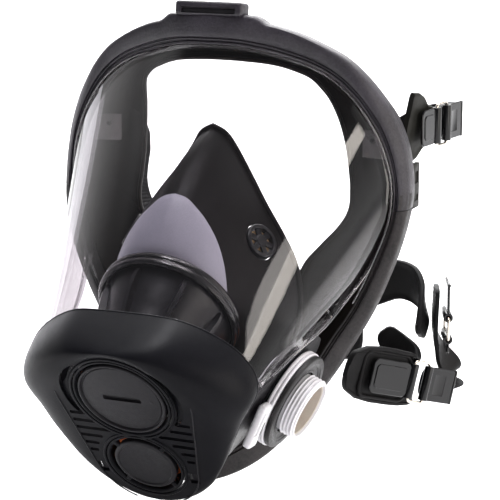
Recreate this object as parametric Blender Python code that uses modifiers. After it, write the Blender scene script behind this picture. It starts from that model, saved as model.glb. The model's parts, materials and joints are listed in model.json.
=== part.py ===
"""Full face respirator: lens, clamp frames, rubber facepiece, nose cup,
speech and exhalation unit under a chin cover, two threaded side ports and a
buckled rubber head harness.

Frame: metres, +Z up, the mask looks along -Y, +X is the wearer's left.
"""
import math
import bpy
import bmesh
from mathutils import Vector, Matrix

MM = 0.001
GAP = 0.35                      # clearance between neighbouring pieces, mm

# ------------------------------------------------------------------ sizes, mm
FRAME_DEPTH = 9.0              # clamp frame, front to back
FRAME_CROWN = 1.6               # how far the frame's face is crowned
LENS_THICK = 2.2
LENS_COLLAR = 6.0               # lens edge that runs back inside the frame
SKIRT_THICK = 2.6
COVER_THICK = 2.2

CAP_CENTRE = Vector((0.0, -136.0, -39.3))     # centre of the speech cap's face
CAP_TILT = math.radians(31.4)                 # its normal points this far down
CAP_R = 20.6                    # speech cap face
CAP_HOLE_R = 23.4               # hole in the cover round the cap
VENT_DROP = 42.0                # cap centre to vent centre, down the face
VENT_R = 18.9                   # exhalation guard opening
VENT_DISC_R = 14.8
SLOT_PITCH = 4.74               # louvre slots, down the face
SLOT_H = 1.9
# louvre slots, each side: (inner end, outer end) across, top to bottom
SLOTS = ((22.7, 30.7), (18.4, 30.5), (11.9, 30.1), (17.2, 29.4), (20.2, 28.4), (21.8, 27.3))
SLOT_FIRST = -12.7              # first slot, measured up the face from the cap centre

PORT_C = Vector((55.5, -73.4, -51.2))         # outer face of the port gasket
PORT_AXIS = Vector((0.917, -0.02, -0.40)).normalized()
GASKET_R = 23.0
THREAD_R = 14.8
THREAD_LEN = 7.4
PORT_BORE_R = 12.6

BELL_R = 30.5                   # speech bell, at its collar
STRAP_W = 15.0
STRAP_T = 2.2

# outer edge of the clamp frame, from the middle of the top down the wearer's left
OUTER = ((0, -46, 116.4), (15, -44.5, 115.8), (28.5, -41, 114.2), (39.8, -38, 110.8),
         (50.6, -35, 105.8), (60.4, -31.5, 99.8), (68.8, -28.2, 91.6), (75.9, -24.8, 82.1),
         (82, -21.5, 72), (86.3, -20, 60.2), (88.5, -20, 48.2), (89.3, -21, 36.1),
         (88.2, -24, 24.2), (85.2, -26.5, 11), (80.0, -28, -4), (73.6, -28.5, -18.6),
         (66.2, -29.5, -32), (56.2, -31.5, -49), (45.2, -38, -66), (33.2, -52.5, -83.5), (18, -66, -93),
         (0, -71, -96.5))
# inner edge of the clamp frame, same stations
INNER = ((0, -47, 105), (13, -45.5, 104.6), (24, -42, 102.6), (34, -38.5, 100),
         (45, -35.6, 96.5), (55, -33, 91.2), (63.6, -31.2, 84), (70.3, -29.6, 75.5),
         (75.9, -28, 66), (80.1, -26.8, 55), (82.3, -25.8, 45), (82.9, -26, 35.2),
         (81.8, -27.5, 24), (77.6, -30, 10.6), (71.2, -32, -5), (64.4, -33.5, -18), (56.8, -36, -30),
         (47.4, -40, -46), (37.6, -48.5, -59), (28, -61, -72), (14, -73, -81), (0, -77, -85))
# edge of the face opening in the seal, same stations
OPENING = ((0, -44, 97.5), (13, -43, 97), (24.6, -39.5, 95.6), (33.3, -34.2, 93),
           (41.6, -25.8, 89), (47, -18.5, 82), (50.3, -11.5, 71), (52.6, -7.5, 58.8),
           (54, -6, 47.2), (55.3, -6.4, 36), (55.5, -9, 26), (52, -13, 18),
           (44, -18, 9), (36, -21, -1), (32, -23, -14), (30.5, -25, -28), (28, -28, -41),
           (24, -32, -52), (18, -37, -60), (11, -41, -65), (5, -43, -67), (0, -43.5, -68))
# lens edge below the frame joint: it leaves the frame and runs forward to the cover
LENS_TAIL = ((73.9, -32.2, 2.6), (68.8, -43, -8.0), (63.5, -60, -19), (59, -78, -25.6),
             (57, -97, -30.5), (55.6, -113, -33.5))
# front edge of the lens, hidden under the cover, from the middle to the corner
LENS_FRONT = ((0, -129.2, -6), (12, -129, -6.4), (24, -127.4, -8.2), (34, -123.8, -12),
              (43.5, -119.8, -17.6), (50.5, -116.9, -24), (55.2, -114.2, -31.5))
# back rim of the chin cover, from the middle of the top down the wearer's left
COVER_RIM = ((0, -131.6, -1.6), (12, -131.3, -1.8), (24.2, -130, -3), (34.5, -126.4, -7),
             (44.1, -122.4, -13), (50.6, -119.8, -19), (55.5, -118, -27), (56.2, -118.4, -34.5),
             (53.4, -119.6, -41), (49, -118.8, -48.5), (44.6, -116.8, -57.2),
             (40.2, -114, -65.9), (35.6, -111.2, -73.8), (29.5, -106.5, -82),
             (21, -101.8, -89), (11, -98.6, -93.4), (0, -97.4, -94.8))


# ------------------------------------------------------------------ helpers
def V(p):
    return Vector((p[0], p[1], p[2]))


def smooth(points, n, closed=False):
    """Catmull-Rom curve through the points, n samples evenly spaced by length."""
    pts = [V(p) for p in points]
    out = []
    cnt = len(pts)
    for i in range(cnt - 1):
        p0 = pts[i - 1] if i else pts[0] * 2 - pts[1]
        p1, p2 = pts[i], pts[i + 1]
        p3 = pts[i + 2] if i + 2 < cnt else pts[-1] * 2 - pts[-2]
        for k in range(16):
            t = k / 16.0
            out.append(0.5 * ((2 * p1) + (p2 - p0) * t + (2 * p0 - 5 * p1 + 4 * p2 - p3) * t * t
                              + (3 * p1 - p0 - 3 * p2 + p3) * t ** 3))
    out.append(pts[-1].copy())
    acc = [0.0]
    for a, b in zip(out, out[1:]):
        acc.append(acc[-1] + (b - a).length)
    res, j = [], 0
    for k in range(n):
        d = acc[-1] * k / (n - 1)
        while j < len(acc) - 2 and acc[j + 1] < d:
            j += 1
        seg = acc[j + 1] - acc[j]
        res.append(out[j].lerp(out[j + 1], (d - acc[j]) / seg if seg else 0.0))
    return res


def by_station(points, u):
    """Catmull-Rom at fractional station u."""
    pts = [V(p) for p in points]
    i = min(int(u), len(pts) - 2)
    t = u - i
    p0 = pts[i - 1] if i else mirror(pts[1])
    p1, p2 = pts[i], pts[i + 1]
    p3 = pts[i + 2] if i + 2 < len(pts) else mirror(pts[-2])
    return 0.5 * ((2 * p1) + (p2 - p0) * t + (2 * p0 - 5 * p1 + 4 * p2 - p3) * t * t
                  + (3 * p1 - p0 - 3 * p2 + p3) * t ** 3)


def mirror(p):
    return Vector((-p[0], p[1], p[2]))


def material(name, color, rough, metal=0.0, alpha=1.0):
    m = bpy.data.materials.new(name)
    m.use_nodes = True
    b = m.node_tree.nodes["Principled BSDF"]
    b.inputs["Base Color"].default_value = (*color, 1.0)
    b.inputs["Roughness"].default_value = rough
    b.inputs["Metallic"].default_value = metal
    b.inputs["Alpha"].default_value = alpha
    m.diffuse_color = (*color, alpha)
    return m


for ob in list(bpy.data.objects):
    bpy.data.objects.remove(ob, do_unlink=True)
PARTS = bpy.data.collections.new("full_face_respirator")
CUTTERS = bpy.data.collections.new("cutters")
bpy.context.scene.collection.children.link(PARTS)
bpy.context.scene.collection.children.link(CUTTERS)

LOOKS = {
    "frame": ((0.032, 0.032, 0.035), 0.62, 0.0),
    "cover": ((0.028, 0.028, 0.031), 0.45, 0.0),
    "cap": ((0.036, 0.035, 0.037), 0.6, 0.0),
    "rubber": ((0.035, 0.033, 0.032), 0.7, 0.0),
    "cup": ((0.045, 0.044, 0.048), 0.5, 0.0),
    "lens": ((0.75, 0.74, 0.76), 0.05, 0.0),
    "white": ((0.78, 0.77, 0.79), 0.4, 0.0),
    "orange": ((0.75, 0.16, 0.05), 0.5, 0.0),
    "tan": ((0.62, 0.42, 0.22), 0.5, 0.0),
    "olive": ((0.09, 0.09, 0.078), 0.55, 0.0),
    "steel": ((0.60, 0.56, 0.50), 0.25, 1.0),
    "black_metal": ((0.02, 0.02, 0.022), 0.22, 0.3),
    "film": ((0.55, 0.55, 0.5), 0.3, 0.0),
}


def finish(name, mesh_or_obj, look, cutter=False):
    ob = mesh_or_obj
    if isinstance(ob, bpy.types.Mesh):
        ob = bpy.data.objects.new(name, ob)
    ob.name = name
    for c in list(ob.users_collection):
        c.objects.unlink(ob)
    (CUTTERS if cutter else PARTS).objects.link(ob)
    if cutter:
        ob.hide_render = True
        ob.display_type = 'WIRE'
    else:
        c, r, mt = LOOKS[look]
        ob.data.materials.clear()
        ob.data.materials.append(material(name, c, r, mt, 0.35 if look == "lens" else 1.0))
    return ob


def origin_at(ob, point):
    """Put a placed object's origin on a point in mm without moving it."""
    p = V(point) * MM
    bpy.context.view_layer.update()
    mw = ob.matrix_world.copy()
    ob.data.transform(Matrix.Translation(-p) @ mw)
    ob.matrix_world = Matrix.Translation(p)
    return ob


def grid_mesh(name, rows, close_rows=False, close_cols=True, cap_ends=False):
    """Loft over unlike sections: rows of equal length, in mm."""
    bm = bmesh.new()
    vs = [[bm.verts.new(p * MM) for p in r] for r in rows]
    nr, nc = len(vs), len(vs[0])
    for i in range(nr if close_rows else nr - 1):
        for j in range(nc if close_cols else nc - 1):
            a, b = vs[i][j], vs[i][(j + 1) % nc]
            c, d = vs[(i + 1) % nr][(j + 1) % nc], vs[(i + 1) % nr][j]
            bm.faces.new((a, b, c, d))
    if cap_ends:
        bm.faces.new(list(reversed(vs[0])))
        bm.faces.new(vs[-1])
    bmesh.ops.recalc_face_normals(bm, faces=bm.faces)
    if bm.calc_volume(signed=True) < 0:
        bmesh.ops.reverse_faces(bm, faces=bm.faces)
    me = bpy.data.meshes.new(name)
    bm.to_mesh(me)
    bm.free()
    return me


def shade(ob, angle=35):
    me = ob.data
    me.shade_smooth()
    me.set_sharp_from_angle(angle=math.radians(angle))
    return ob


def axes(direction, up=Vector((0, 0, 1))):
    """Matrix whose +Z is the direction."""
    z = direction.normalized()
    x = up.cross(z)
    if x.length < 1e-6:
        x = Vector((1, 0, 0))
    x.normalize()
    y = z.cross(x)
    m = Matrix((x, y, z)).transposed()
    return m.to_4x4()


def turned(name, profile, centre, axis, look, steps=40, cutter=False):
    """Closed profile (radius, height) turned round the axis through centre, mm."""
    bm = bmesh.new()
    vs = [bm.verts.new((r * MM, 0, h * MM)) for r, h in profile]
    for a, b in zip(vs, vs[1:]):
        bm.edges.new((a, b))
    if profile[0][0] > 1e-6 or profile[-1][0] > 1e-6:
        bm.edges.new((vs[-1], vs[0]))
    me = bpy.data.meshes.new(name)
    bm.to_mesh(me)
    bm.free()
    ob = bpy.data.objects.new(name, me)
    bpy.context.scene.collection.objects.link(ob)
    s = ob.modifiers.new("turn", 'SCREW')
    s.axis = 'Z'
    s.steps = steps
    s.render_steps = steps
    s.use_merge_vertices = True
    s.merge_threshold = 0.00002
    s.use_normal_calculate = True
    ob.matrix_world = Matrix.Translation(V(centre) * MM) @ axes(axis)
    return settle(ob, name, look, cutter)


def settle(ob, name, look, cutter=False):
    """Apply the modifiers, face the mesh outwards, keep the placement."""
    bpy.context.view_layer.update()
    deps = bpy.context.evaluated_depsgraph_get()
    me = bpy.data.meshes.new_from_object(ob.evaluated_get(deps))
    mw = ob.matrix_world.copy()
    bm = bmesh.new()
    bm.from_mesh(me)
    bmesh.ops.remove_doubles(bm, verts=bm.verts, dist=0.00001)
    bmesh.ops.dissolve_degenerate(bm, edges=bm.edges, dist=0.000005)
    bmesh.ops.recalc_face_normals(bm, faces=bm.faces)
    if bm.calc_volume(signed=True) < 0:
        bmesh.ops.reverse_faces(bm, faces=bm.faces)
    bm.to_mesh(me)
    bm.free()
    new = bpy.data.objects.new(name, me)
    new.matrix_world = mw
    bpy.data.objects.remove(ob, do_unlink=True)
    finish(name, new, look, cutter)
    return shade(new)


def cylinder(name, radius, p0, p1, look, segs=32, cutter=False, radius2=None):
    p0, p1 = V(p0), V(p1)
    bm = bmesh.new()
    bmesh.ops.create_cone(bm, cap_ends=True, segments=segs, radius1=radius * MM,
                          radius2=(radius if radius2 is None else radius2) * MM,
                          depth=(p1 - p0).length * MM)
    me = bpy.data.meshes.new(name)
    bm.to_mesh(me)
    bm.free()
    ob = bpy.data.objects.new(name, me)
    ob.matrix_world = Matrix.Translation((p0 + p1) * 0.5 * MM) @ axes(p1 - p0)
    finish(name, ob, look, cutter)
    return shade(ob)


def box(name, centre, size, look, rot=None, cutter=False, bevel=0.0, segs=2):
    bm = bmesh.new()
    bmesh.ops.create_cube(bm, size=1.0)
    bmesh.ops.scale(bm, vec=V(size) * MM, verts=bm.verts)
    if bevel:
        bmesh.ops.bevel(bm, geom=bm.edges, offset=bevel * MM, segments=segs, profile=0.5,
                        affect='EDGES')
    me = bpy.data.meshes.new(name)
    bm.to_mesh(me)
    bm.free()
    ob = bpy.data.objects.new(name, me)
    ob.matrix_world = Matrix.Translation(V(centre) * MM) @ (rot.to_4x4() if rot else Matrix())
    finish(name, ob, look, cutter)
    return shade(ob)


def triangles(ob):
    """Split the faces into triangles, so that a cut leaves only flat faces."""
    bm = bmesh.new()
    bm.from_mesh(ob.data)
    bmesh.ops.triangulate(bm, faces=[f for f in bm.faces if len(f.verts) > 3])
    bm.to_mesh(ob.data)
    bm.free()


def boolean(ob, other, op='DIFFERENCE', keep=False):
    triangles(ob)
    m = ob.modifiers.new(op.lower(), 'BOOLEAN')
    m.operation = op
    m.solver = 'EXACT'
    m.object = other
    bpy.context.view_layer.update()
    deps = bpy.context.evaluated_depsgraph_get()
    me = bpy.data.meshes.new_from_object(ob.evaluated_get(deps))
    ob.modifiers.clear()
    old = ob.data
    mats = [mm for mm in old.materials]
    ob.data = me
    me.materials.clear()
    for mm in mats:
        me.materials.append(mm)
    for p in me.polygons:
        p.material_index = 0
    if not keep:
        bpy.data.objects.remove(other, do_unlink=True)
    return ob


def tidy(ob, dist=0.0012):
    """Merge the points a cut leaves closer together than dist, in mm."""
    bm = bmesh.new()
    bm.from_mesh(ob.data)
    bmesh.ops.triangulate(bm, faces=[f for f in bm.faces if len(f.verts) > 3])
    bmesh.ops.remove_doubles(bm, verts=bm.verts, dist=dist * MM)
    bmesh.ops.dissolve_degenerate(bm, edges=bm.edges, dist=dist * MM)
    bmesh.ops.recalc_face_normals(bm, faces=bm.faces)
    if bm.calc_volume(signed=True) < 0:
        bmesh.ops.reverse_faces(bm, faces=bm.faces)
    bm.to_mesh(ob.data)
    bm.free()
    return ob


FACE_N = Vector((0, -math.cos(CAP_TILT), -math.sin(CAP_TILT)))   # out of the cover's face
FACE_U = Vector((0, -math.sin(CAP_TILT), math.cos(CAP_TILT)))    # up the face
VENT_CENTRE = CAP_CENTRE - FACE_U * VENT_DROP
FACE_ROT = Matrix((Vector((1, 0, 0)), FACE_U, -FACE_N * -1.0)).transposed()


def on_face(x, up, out=0.0):
    """A point on the cover's flat face, mm."""
    return CAP_CENTRE + Vector((1, 0, 0)) * x + FACE_U * up + FACE_N * out


def full_ring(half):
    """Close a half outline (top middle to bottom middle) over the symmetry plane."""
    return half + [mirror(p) for p in reversed(half[1:-1])]


def stations(points, us):
    return [by_station(points, u) for u in us]


# ------------------------------------------------------------------ clamp frames
JOINT_U = 11.45                 # station where the two frames meet


def band_section(u):
    """Section of the clamp frame: inner front, crown, outer, back, as 9 points."""
    o, i = by_station(OUTER, u), by_station(INNER, u)
    d = Vector((0, 1, 0))
    w = o - i
    return [i + d * 0.4, i + w * 0.12 - d * 0.6, i + w * 0.38 - d * FRAME_CROWN,
            i + w * 0.70 - d * FRAME_CROWN, i + w * 0.93 - d * 0.3, o + d * 1.4,
            i + w * 0.94 + d * (FRAME_DEPTH - 2.0), i + w * 0.80 + d * FRAME_DEPTH, i + d * FRAME_DEPTH]


def make_upper_frame():
    n = 17
    us = [JOINT_U * k / n for k in range(n + 1)]
    half = [band_section(u) for u in us]
    rows = [[mirror(p) for p in r] for r in reversed(half[1:])] + half
    return shade(finish("upper_lens_frame", grid_mesh("upper_lens_frame", rows, cap_ends=True), "frame"))


def make_lower_frame():
    n = 14
    u0 = JOINT_U + 0.03
    us = [u0 + (21 - u0) * k / n for k in range(n + 1)]
    half = [band_section(u) for u in us]
    rows = half + [[mirror(p) for p in r] for r in reversed(half[:-1])]
    return shade(finish("lower_lens_frame", grid_mesh("lower_lens_frame", rows, cap_ends=True), "frame"))


# ------------------------------------------------------------------ lens
def lens_rows(nu, nv):
    """Outer face of the lens: nu stations from top middle to the corner, nv along each."""
    edge = [by_station(INNER, 12.6 * k / 13) for k in range(14)]
    path = edge + [V(p) for p in LENS_TAIL]
    rim = smooth([tuple(p) for p in path], nu)
    front = smooth(LENS_FRONT, nu)
    rows = []
    for k in range(nu):
        c = Vector((0, rim[k].y, 40))
        inward = (c - rim[k]); inward.y = 0
        inward = inward.normalized() * (GAP + 0.1)
        a = rim[k] + inward
        collar = max(0.0, 1.0 - max(0.0, k / (nu - 1) - 0.60) / 0.12)
        back = a + Vector((0, 1, 0)) * (LENS_COLLAR * collar + 0.6)
        f = k / (nu - 1)
        b = front[min(nu - 1, int(round((nu - 1) * min(1.0, f / 0.60))))]
        ff = min(1.0, f / 0.60) * (nu - 1)
        j = min(int(ff), nu - 2)
        b = front[j].lerp(front[j + 1], ff - j)
        if f > 0.60:
            b = front[-1].lerp(front[-1] + Vector((0.2, 0.1, -1.7)), (f - 0.60) / 0.40)
        if k == nu - 1:
            a = b + Vector((0.2, 1.3, -0.6))
            back = a + Vector((0, 0.6, 0))
        rows.append([back] + [a.lerp(b, t / (nv - 1)) for t in range(nv)])
    return rows


def shell_mesh(name, rows, thick):
    """Thicken an open sheet (rows of points) inwards by solidify-like offset, closed edges."""
    nr, nc = len(rows), len(rows[0])
    bm = bmesh.new()
    vs = [[bm.verts.new(p * MM) for p in r] for r in rows]
    for i in range(nr - 1):
        for j in range(nc - 1):
            bm.faces.new((vs[i][j], vs[i][j + 1], vs[i + 1][j + 1], vs[i + 1][j]))
    me = bpy.data.meshes.new(name)
    bmesh.ops.recalc_face_normals(bm, faces=bm.faces)
    bm.to_mesh(me)
    bm.free()
    ob = bpy.data.objects.new(name, me)
    bpy.context.scene.collection.objects.link(ob)
    s = ob.modifiers.new("wall", 'SOLIDIFY')
    s.thickness = thick * MM
    s.offset = -1.0
    s.use_even_offset = False
    return ob


def outward(me, centre):
    """Flip the sheet so that its faces look away from the centre."""
    c = V(centre) * MM
    s = sum((p.center - c).dot(p.normal) * p.area for p in me.polygons)
    if s < 0:
        me.flip_normals()


def make_lens():
    half = lens_rows(21, 4)
    rows = [[mirror(p) for p in r] for r in reversed(half[1:])] + half
    ob = shell_mesh("lens", rows, LENS_THICK)
    outward(ob.data, (0, -20, 20))
    return settle(ob, "lens", "lens")


# ------------------------------------------------------------------ facepiece
def skirt_section(u):
    """Section of the rubber facepiece: clamped bead, outer wall, seal face, inner lip."""
    o, i, e = by_station(OUTER, u), by_station(INNER, u), by_station(OPENING, u)
    d = Vector((0, 1, 0))
    w = (o - i)
    inn = (e - i); inn.y = 0
    if inn.length < 0.1:
        inn = Vector((0, 0, -1))
    n = inn.normalized()
    g = i + n * 3.6
    back = Vector((e.x, max(e.y, i.y + FRAME_DEPTH + 4), e.z))
    m1 = (i + w * 0.42) + d * (FRAME_DEPTH + 0.9)
    m2 = (i + w * 0.30) + d * (FRAME_DEPTH + 5)
    m3 = i.lerp(back, 0.30) + d * (FRAME_DEPTH + 5.5)
    m4 = i.lerp(back, 0.75) + d * (FRAME_DEPTH + 2.0)
    tip = back + d * 0.5
    t = SKIRT_THICK
    k4 = i.lerp(back, 0.75) + d * (FRAME_DEPTH + 2.0 - t)
    k3 = i.lerp(back, 0.28) + d * (FRAME_DEPTH + 5.5 - t * 1.3)
    k2 = i + n * 1.2 + d * (FRAME_DEPTH + 1.4)
    k1 = i + n * 0.6 + d * (LENS_COLLAR + 2.0)
    k0 = i + n * -0.0 + d * (LENS_COLLAR + 2.0)
    root = i + n * 0.6 + d * (FRAME_DEPTH + 0.9)
    return [m1, m2, m3, m4, tip, tip - d * 1.0, k4, k3, k2, root]


def make_skirt():
    n = 23
    half = [skirt_section(21.0 * k / n) for k in range(n + 1)]
    rows = full_rows(half)
    return shade(finish("facepiece_skirt", grid_mesh("facepiece_skirt", rows, close_rows=True), "rubber"), 50)


def full_rows(half):
    for r in (half[0], half[-1]):
        for p in r:
            p.x = 0.0
    return half + [[mirror(p) for p in r] for r in reversed(half[1:-1])]


# ------------------------------------------------------------------ chin cover
def cover_rows(n):
    """Rings of the chin cover from its rim to the edge of its flat face."""
    rim_h = smooth(COVER_RIM, n)
    rows = [[], [], [], [], []]
    for k in range(n):
        f = k / (n - 1)
        a = math.pi * f
        # keyhole outline of the flat face: a big circle over a smaller one
        best = None
        for c, r in ((0.0, 31.0), (-VENT_DROP, 23.5)):
            q = Vector((math.sin(a) * r, math.cos(a) * r + c))
            s = q.x * math.sin(a) + q.y * math.cos(a)
            if best is None or s > best[0]:
                best = (s, q)
        q = best[1]
        flat = on_face(q.x, q.y, 0.0)
        rim = rim_h[k]
        proud = rim_h[k].copy()
        out = on_face(q.x * 1.0, q.y * 1.0) - CAP_CENTRE
        edge = rim + (rim - on_face(0, -10)).normalized() * 0.0
        # two shoulder points that round the cover over from rim to face
        lift = FACE_N * ((flat - rim).dot(FACE_N))
        corner = rim + lift
        b1 = rim.lerp(corner, 0.52).lerp(flat, 0.06)
        b2 = rim.lerp(corner, 0.86).lerp(flat, 0.26)
        b3 = rim.lerp(corner, 0.985).lerp(flat, 0.62)
        for row, p in zip(rows, (rim, b1, b2, b3, flat)):
            row.append(p)
    return [full_ring(r) for r in rows]


def make_cover():
    rows = cover_rows(17)
    bm = bmesh.new()
    vs = [[bm.verts.new(p * MM) for p in r] for r in rows]
    n = len(rows[0])
    for i in range(len(rows) - 1):
        for j in range(n):
            bm.faces.new((vs[i][j], vs[i][(j + 1) % n], vs[i + 1][(j + 1) % n], vs[i + 1][j]))
    bm.faces.new(vs[-1])
    bmesh.ops.recalc_face_normals(bm, faces=bm.faces)
    me = bpy.data.meshes.new("chin_cover")
    bm.to_mesh(me)
    bm.free()
    outward(me, (0, -95, -40))
    ob = bpy.data.objects.new("chin_cover", me)
    bpy.context.scene.collection.objects.link(ob)
    s = ob.modifiers.new("wall", 'SOLIDIFY')
    s.thickness = COVER_THICK * MM
    s.offset = -1.0
    ob = settle(ob, "chin_cover", "cover")
    boolean(ob, cylinder("c1", CAP_HOLE_R, on_face(0, 0, 8), on_face(0, 0, -12), "cap", 28, True))
    boolean(ob, cylinder("c2", VENT_R, on_face(0, -VENT_DROP, 8), on_face(0, -VENT_DROP, -12), "cap", 24, True))
    for row, (x0, x1) in enumerate(SLOTS):
        up = SLOT_FIRST - row * SLOT_PITCH
        for s in (1, -1):
            boolean(ob, box("slot", on_face(s * (x0 + x1) / 2, up), (x1 - x0, SLOT_H, 16), "cap",
                            rot=FACE_ROT, cutter=True))
    return shade(tidy(ob), 40)


def make_speech():
    made = []
    cap = turned("speech_cap", [(0, 0), (0, 0.9), (CAP_R - 0.9, 0.9), (CAP_R, 0.1), (CAP_R, -5.5), (0, -5.5)][1:],
                 CAP_CENTRE, FACE_N, "cap", 28)
    boolean(cap, box("coin", on_face(0, 0, 0.9), (18.0, 2.6, 3.0), "cap", rot=FACE_ROT, cutter=True))
    made.append(origin_at(shade(tidy(cap)), CAP_CENTRE))
    ring = turned("speech_cap_ring", [(22.9, 0.6), (22.9, -6.0), (21.2, -6.0), (21.2, -0.4), (21.9, 0.6)],
                  CAP_CENTRE, FACE_N, "cover", 28)
    made.append(ring)
    made.append(turned("speech_diaphragm", [(0, -8.2), (19.5, -8.2), (19.5, -9.0), (0, -9.0)],
                       CAP_CENTRE, FACE_N, "film", 32))
    return made


def make_exhale():
    c = VENT_CENTRE
    guard = turned("exhalation_guard", [(VENT_R - 0.5, 0.2), (VENT_R - 0.5, -3.2), (VENT_R - 2.1, -3.2), (VENT_R - 2.1, 0.2)],
                   c, FACE_N, "cover", 26)
    for k in range(4):
        a = math.radians(45 + 90 * k)
        mid = on_face(math.cos(a) * 15.9, -VENT_DROP + math.sin(a) * 15.9, -1.3)
        rot = FACE_ROT @ Matrix.Rotation(a, 3, 'Z')
        boolean(guard, box("rib", mid, (3.4, 1.7, 1.8), "cap", rot=rot, cutter=True), 'UNION')
    disc = cylinder("disc", VENT_DISC_R, on_face(0, -VENT_DROP, 0.1), on_face(0, -VENT_DROP, -2.6), "cap", 40, True)
    boolean(guard, disc, 'UNION')
    tidy(guard)
    seat = turned("exhalation_valve_seat", [(18.0, -9.2), (18.0, -11.2), (11.5, -11.2), (11.5, -9.2)], c, FACE_N, "cover", 28)
    leaf = turned("exhalation_valve", [(0, -7.6), (16.6, -7.6), (16.6, -8.8), (0, -8.8)], c, FACE_N, "orange", 28)
    origin_at(leaf, c - FACE_N * 8.2)
    return shade(guard), seat, leaf


# ------------------------------------------------------------------ housing and bell
HOUSING_FRONT = ((53.0, -112, -37.2), (50.5, -112.5, -42), (46.5, -111.5, -49.5), (41.8, -109.5, -58),
                 (36.8, -107, -66.5), (31.5, -103.5, -74), (24.5, -98.5, -81), (13, -94, -86.5), (0, -92, -88.5))
HOUSING_BACK = ((61.0, -62, -22.3), (57.2, -49, -27.6), (52.2, -42.6, -36), (46.0, -42.6, -45.5), (39.6, -47.6, -55),
                (33.0, -55, -64), (25, -64, -72.5), (13, -73.5, -79.5), (0, -77, -82))


def make_housing():
    n = 11
    f, b = smooth(HOUSING_FRONT, n), smooth(HOUSING_BACK, n)
    half = []
    for k in range(n):
        half.append([b[k].lerp(f[k], t / 3.0) for t in range(4)])
    rows = half + [[mirror(p) for p in r] for r in reversed(half[:-1])]
    ob = shell_mesh("front_housing", rows, 2.2)
    outward(ob.data, (0, -75, -20))
    ob = settle(ob, "front_housing", "cover")
    for s in (1, -1):
        ax = PORT_AXIS if s > 0 else mirror(PORT_AXIS)
        c = PORT_C if s > 0 else mirror(PORT_C)
        boolean(ob, cylinder("relief", 17.4, c - ax * 13.0, c - ax * 18.5, "cap", 24, True))
        boolean(ob, cylinder("boss", 22.0, c - ax * 6.6, c - ax * 14.0, "cap", 24, True), 'UNION')
        boolean(ob, cylinder("bore", THREAD_R + 0.6, c - ax * 1, c - ax * 40, "cap", 24, True))
    return shade(tidy(ob), 40)


def make_bell():
    prof = [(BELL_R, 58.0), (BELL_R, 54.0), (28.5, 50.0), (22.4, 29.0), (21.6, 17.0),
            (19.6, 17.0), (20.2, 30.0), (26.2, 50.6), (26.8, 58.0)]
    ob = turned("speech_bell", [(r, -h) for r, h in prof], CAP_CENTRE, FACE_N, "cover", 26)
    return ob


CUP_EDGE = ((0, -41.2, 67), (6, -40.2, 63.6), (10.8, -38.9, 56.5), (18.9, -40.2, 44), (27.7, -43.4, 31.6), (36.4, -45.4, 19.6),
            (43.5, -46.6, 7.4), (46, -46, -6), (45, -45, -20), (40, -44, -35), (31, -43.5, -47),
            (17, -43, -56), (0, -43, -60))
CUP_MID = ((0, -82, 42.5), (6, -81.4, 41), (11, -80.5, 37.2), (16, -79.5, 33), (23, -77.5, 25), (29.5, -75.5, 14),
           (33.5, -73.5, 2), (35, -71.5, -9), (34.5, -68.5, -20), (31, -65, -31), (24.5, -62, -40),
           (13.5, -60, -46), (0, -59.5, -48))


def cup_rows(n, m):
    e, c = smooth(CUP_EDGE, n), smooth(CUP_MID, n)
    cc = CAP_CENTRE - FACE_N * 60.6
    half = []
    for k in range(n):
        a = math.pi * k / (n - 1)
        ring = cc + Vector((1, 0, 0)) * math.sin(a) * 28.2 + FACE_U * math.cos(a) * 28.2
        mid, ed = c[k], e[k]
        row = []
        for j in range(m):
            t = j / (m - 1)
            # quadratic through edge, middle and ring
            p = ed * ((1 - t) * (1 - 2 * t)) + mid * (4 * t * (1 - t)) + ring * (t * (2 * t - 1))
            row.append(p)
        half.append(row)
    return half


def make_cup():
    half = cup_rows(14, 5)
    for r in (half[0], half[-1]):
        for p in r:
            p.x = 0
    rows = half + [[mirror(p) for p in r] for r in reversed(half[1:-1])]
    rows.append([p.copy() for p in rows[0]])
    ob = shell_mesh("nose_cup", rows, 1.8)
    bm = bmesh.new()
    bm.from_mesh(ob.data)
    bmesh.ops.remove_doubles(bm, verts=bm.verts, dist=0.00001)
    bmesh.ops.recalc_face_normals(bm, faces=bm.faces)
    bm.to_mesh(ob.data)
    bm.free()
    outward(ob.data, (0, -55, 0))
    ob = settle(ob, "nose_cup", "cup")
    for s in (1, -1):
        c, ax = CHECK_C.copy(), CHECK_AXIS.copy()
        if s < 0:
            c, ax = mirror(c), mirror(ax)
        boolean(ob, cylinder("hole", 8.6, c + ax * 9, c - ax * 9, "cap", 24, True))
    return shade(tidy(ob), 50)


CHECK_C = Vector((31.5, -60.5, 18.0))
CHECK_AXIS = Vector((0.80, -0.30, 0.52)).normalized()


def make_checks():
    for s, side in ((1, "left"), (-1, "right")):
        c, ax = (CHECK_C, CHECK_AXIS) if s > 0 else (mirror(CHECK_C), mirror(CHECK_AXIS))
        seat = turned("nose_cup_valve_seat_" + side, [(8.2, 2.6), (8.2, -2.2), (6.4, -2.2), (6.4, 2.6)], c, ax, "tan", 20)
        for k in range(2):
            rot = axes(ax).to_3x3() @ Matrix.Rotation(math.pi / 2 * k, 3, 'Z')
            boolean(seat, box("spoke", c + ax * 1.4, (13.4, 1.2, 1.2), "tan", rot=rot, cutter=True), 'UNION')
        tidy(seat)
        leaf = turned("nose_cup_valve_" + side, [(0, 0.4), (5.9, 0.4), (5.9, -0.4), (0, -0.4)], c, ax, "orange", 20)
        origin_at(leaf, c)


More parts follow.
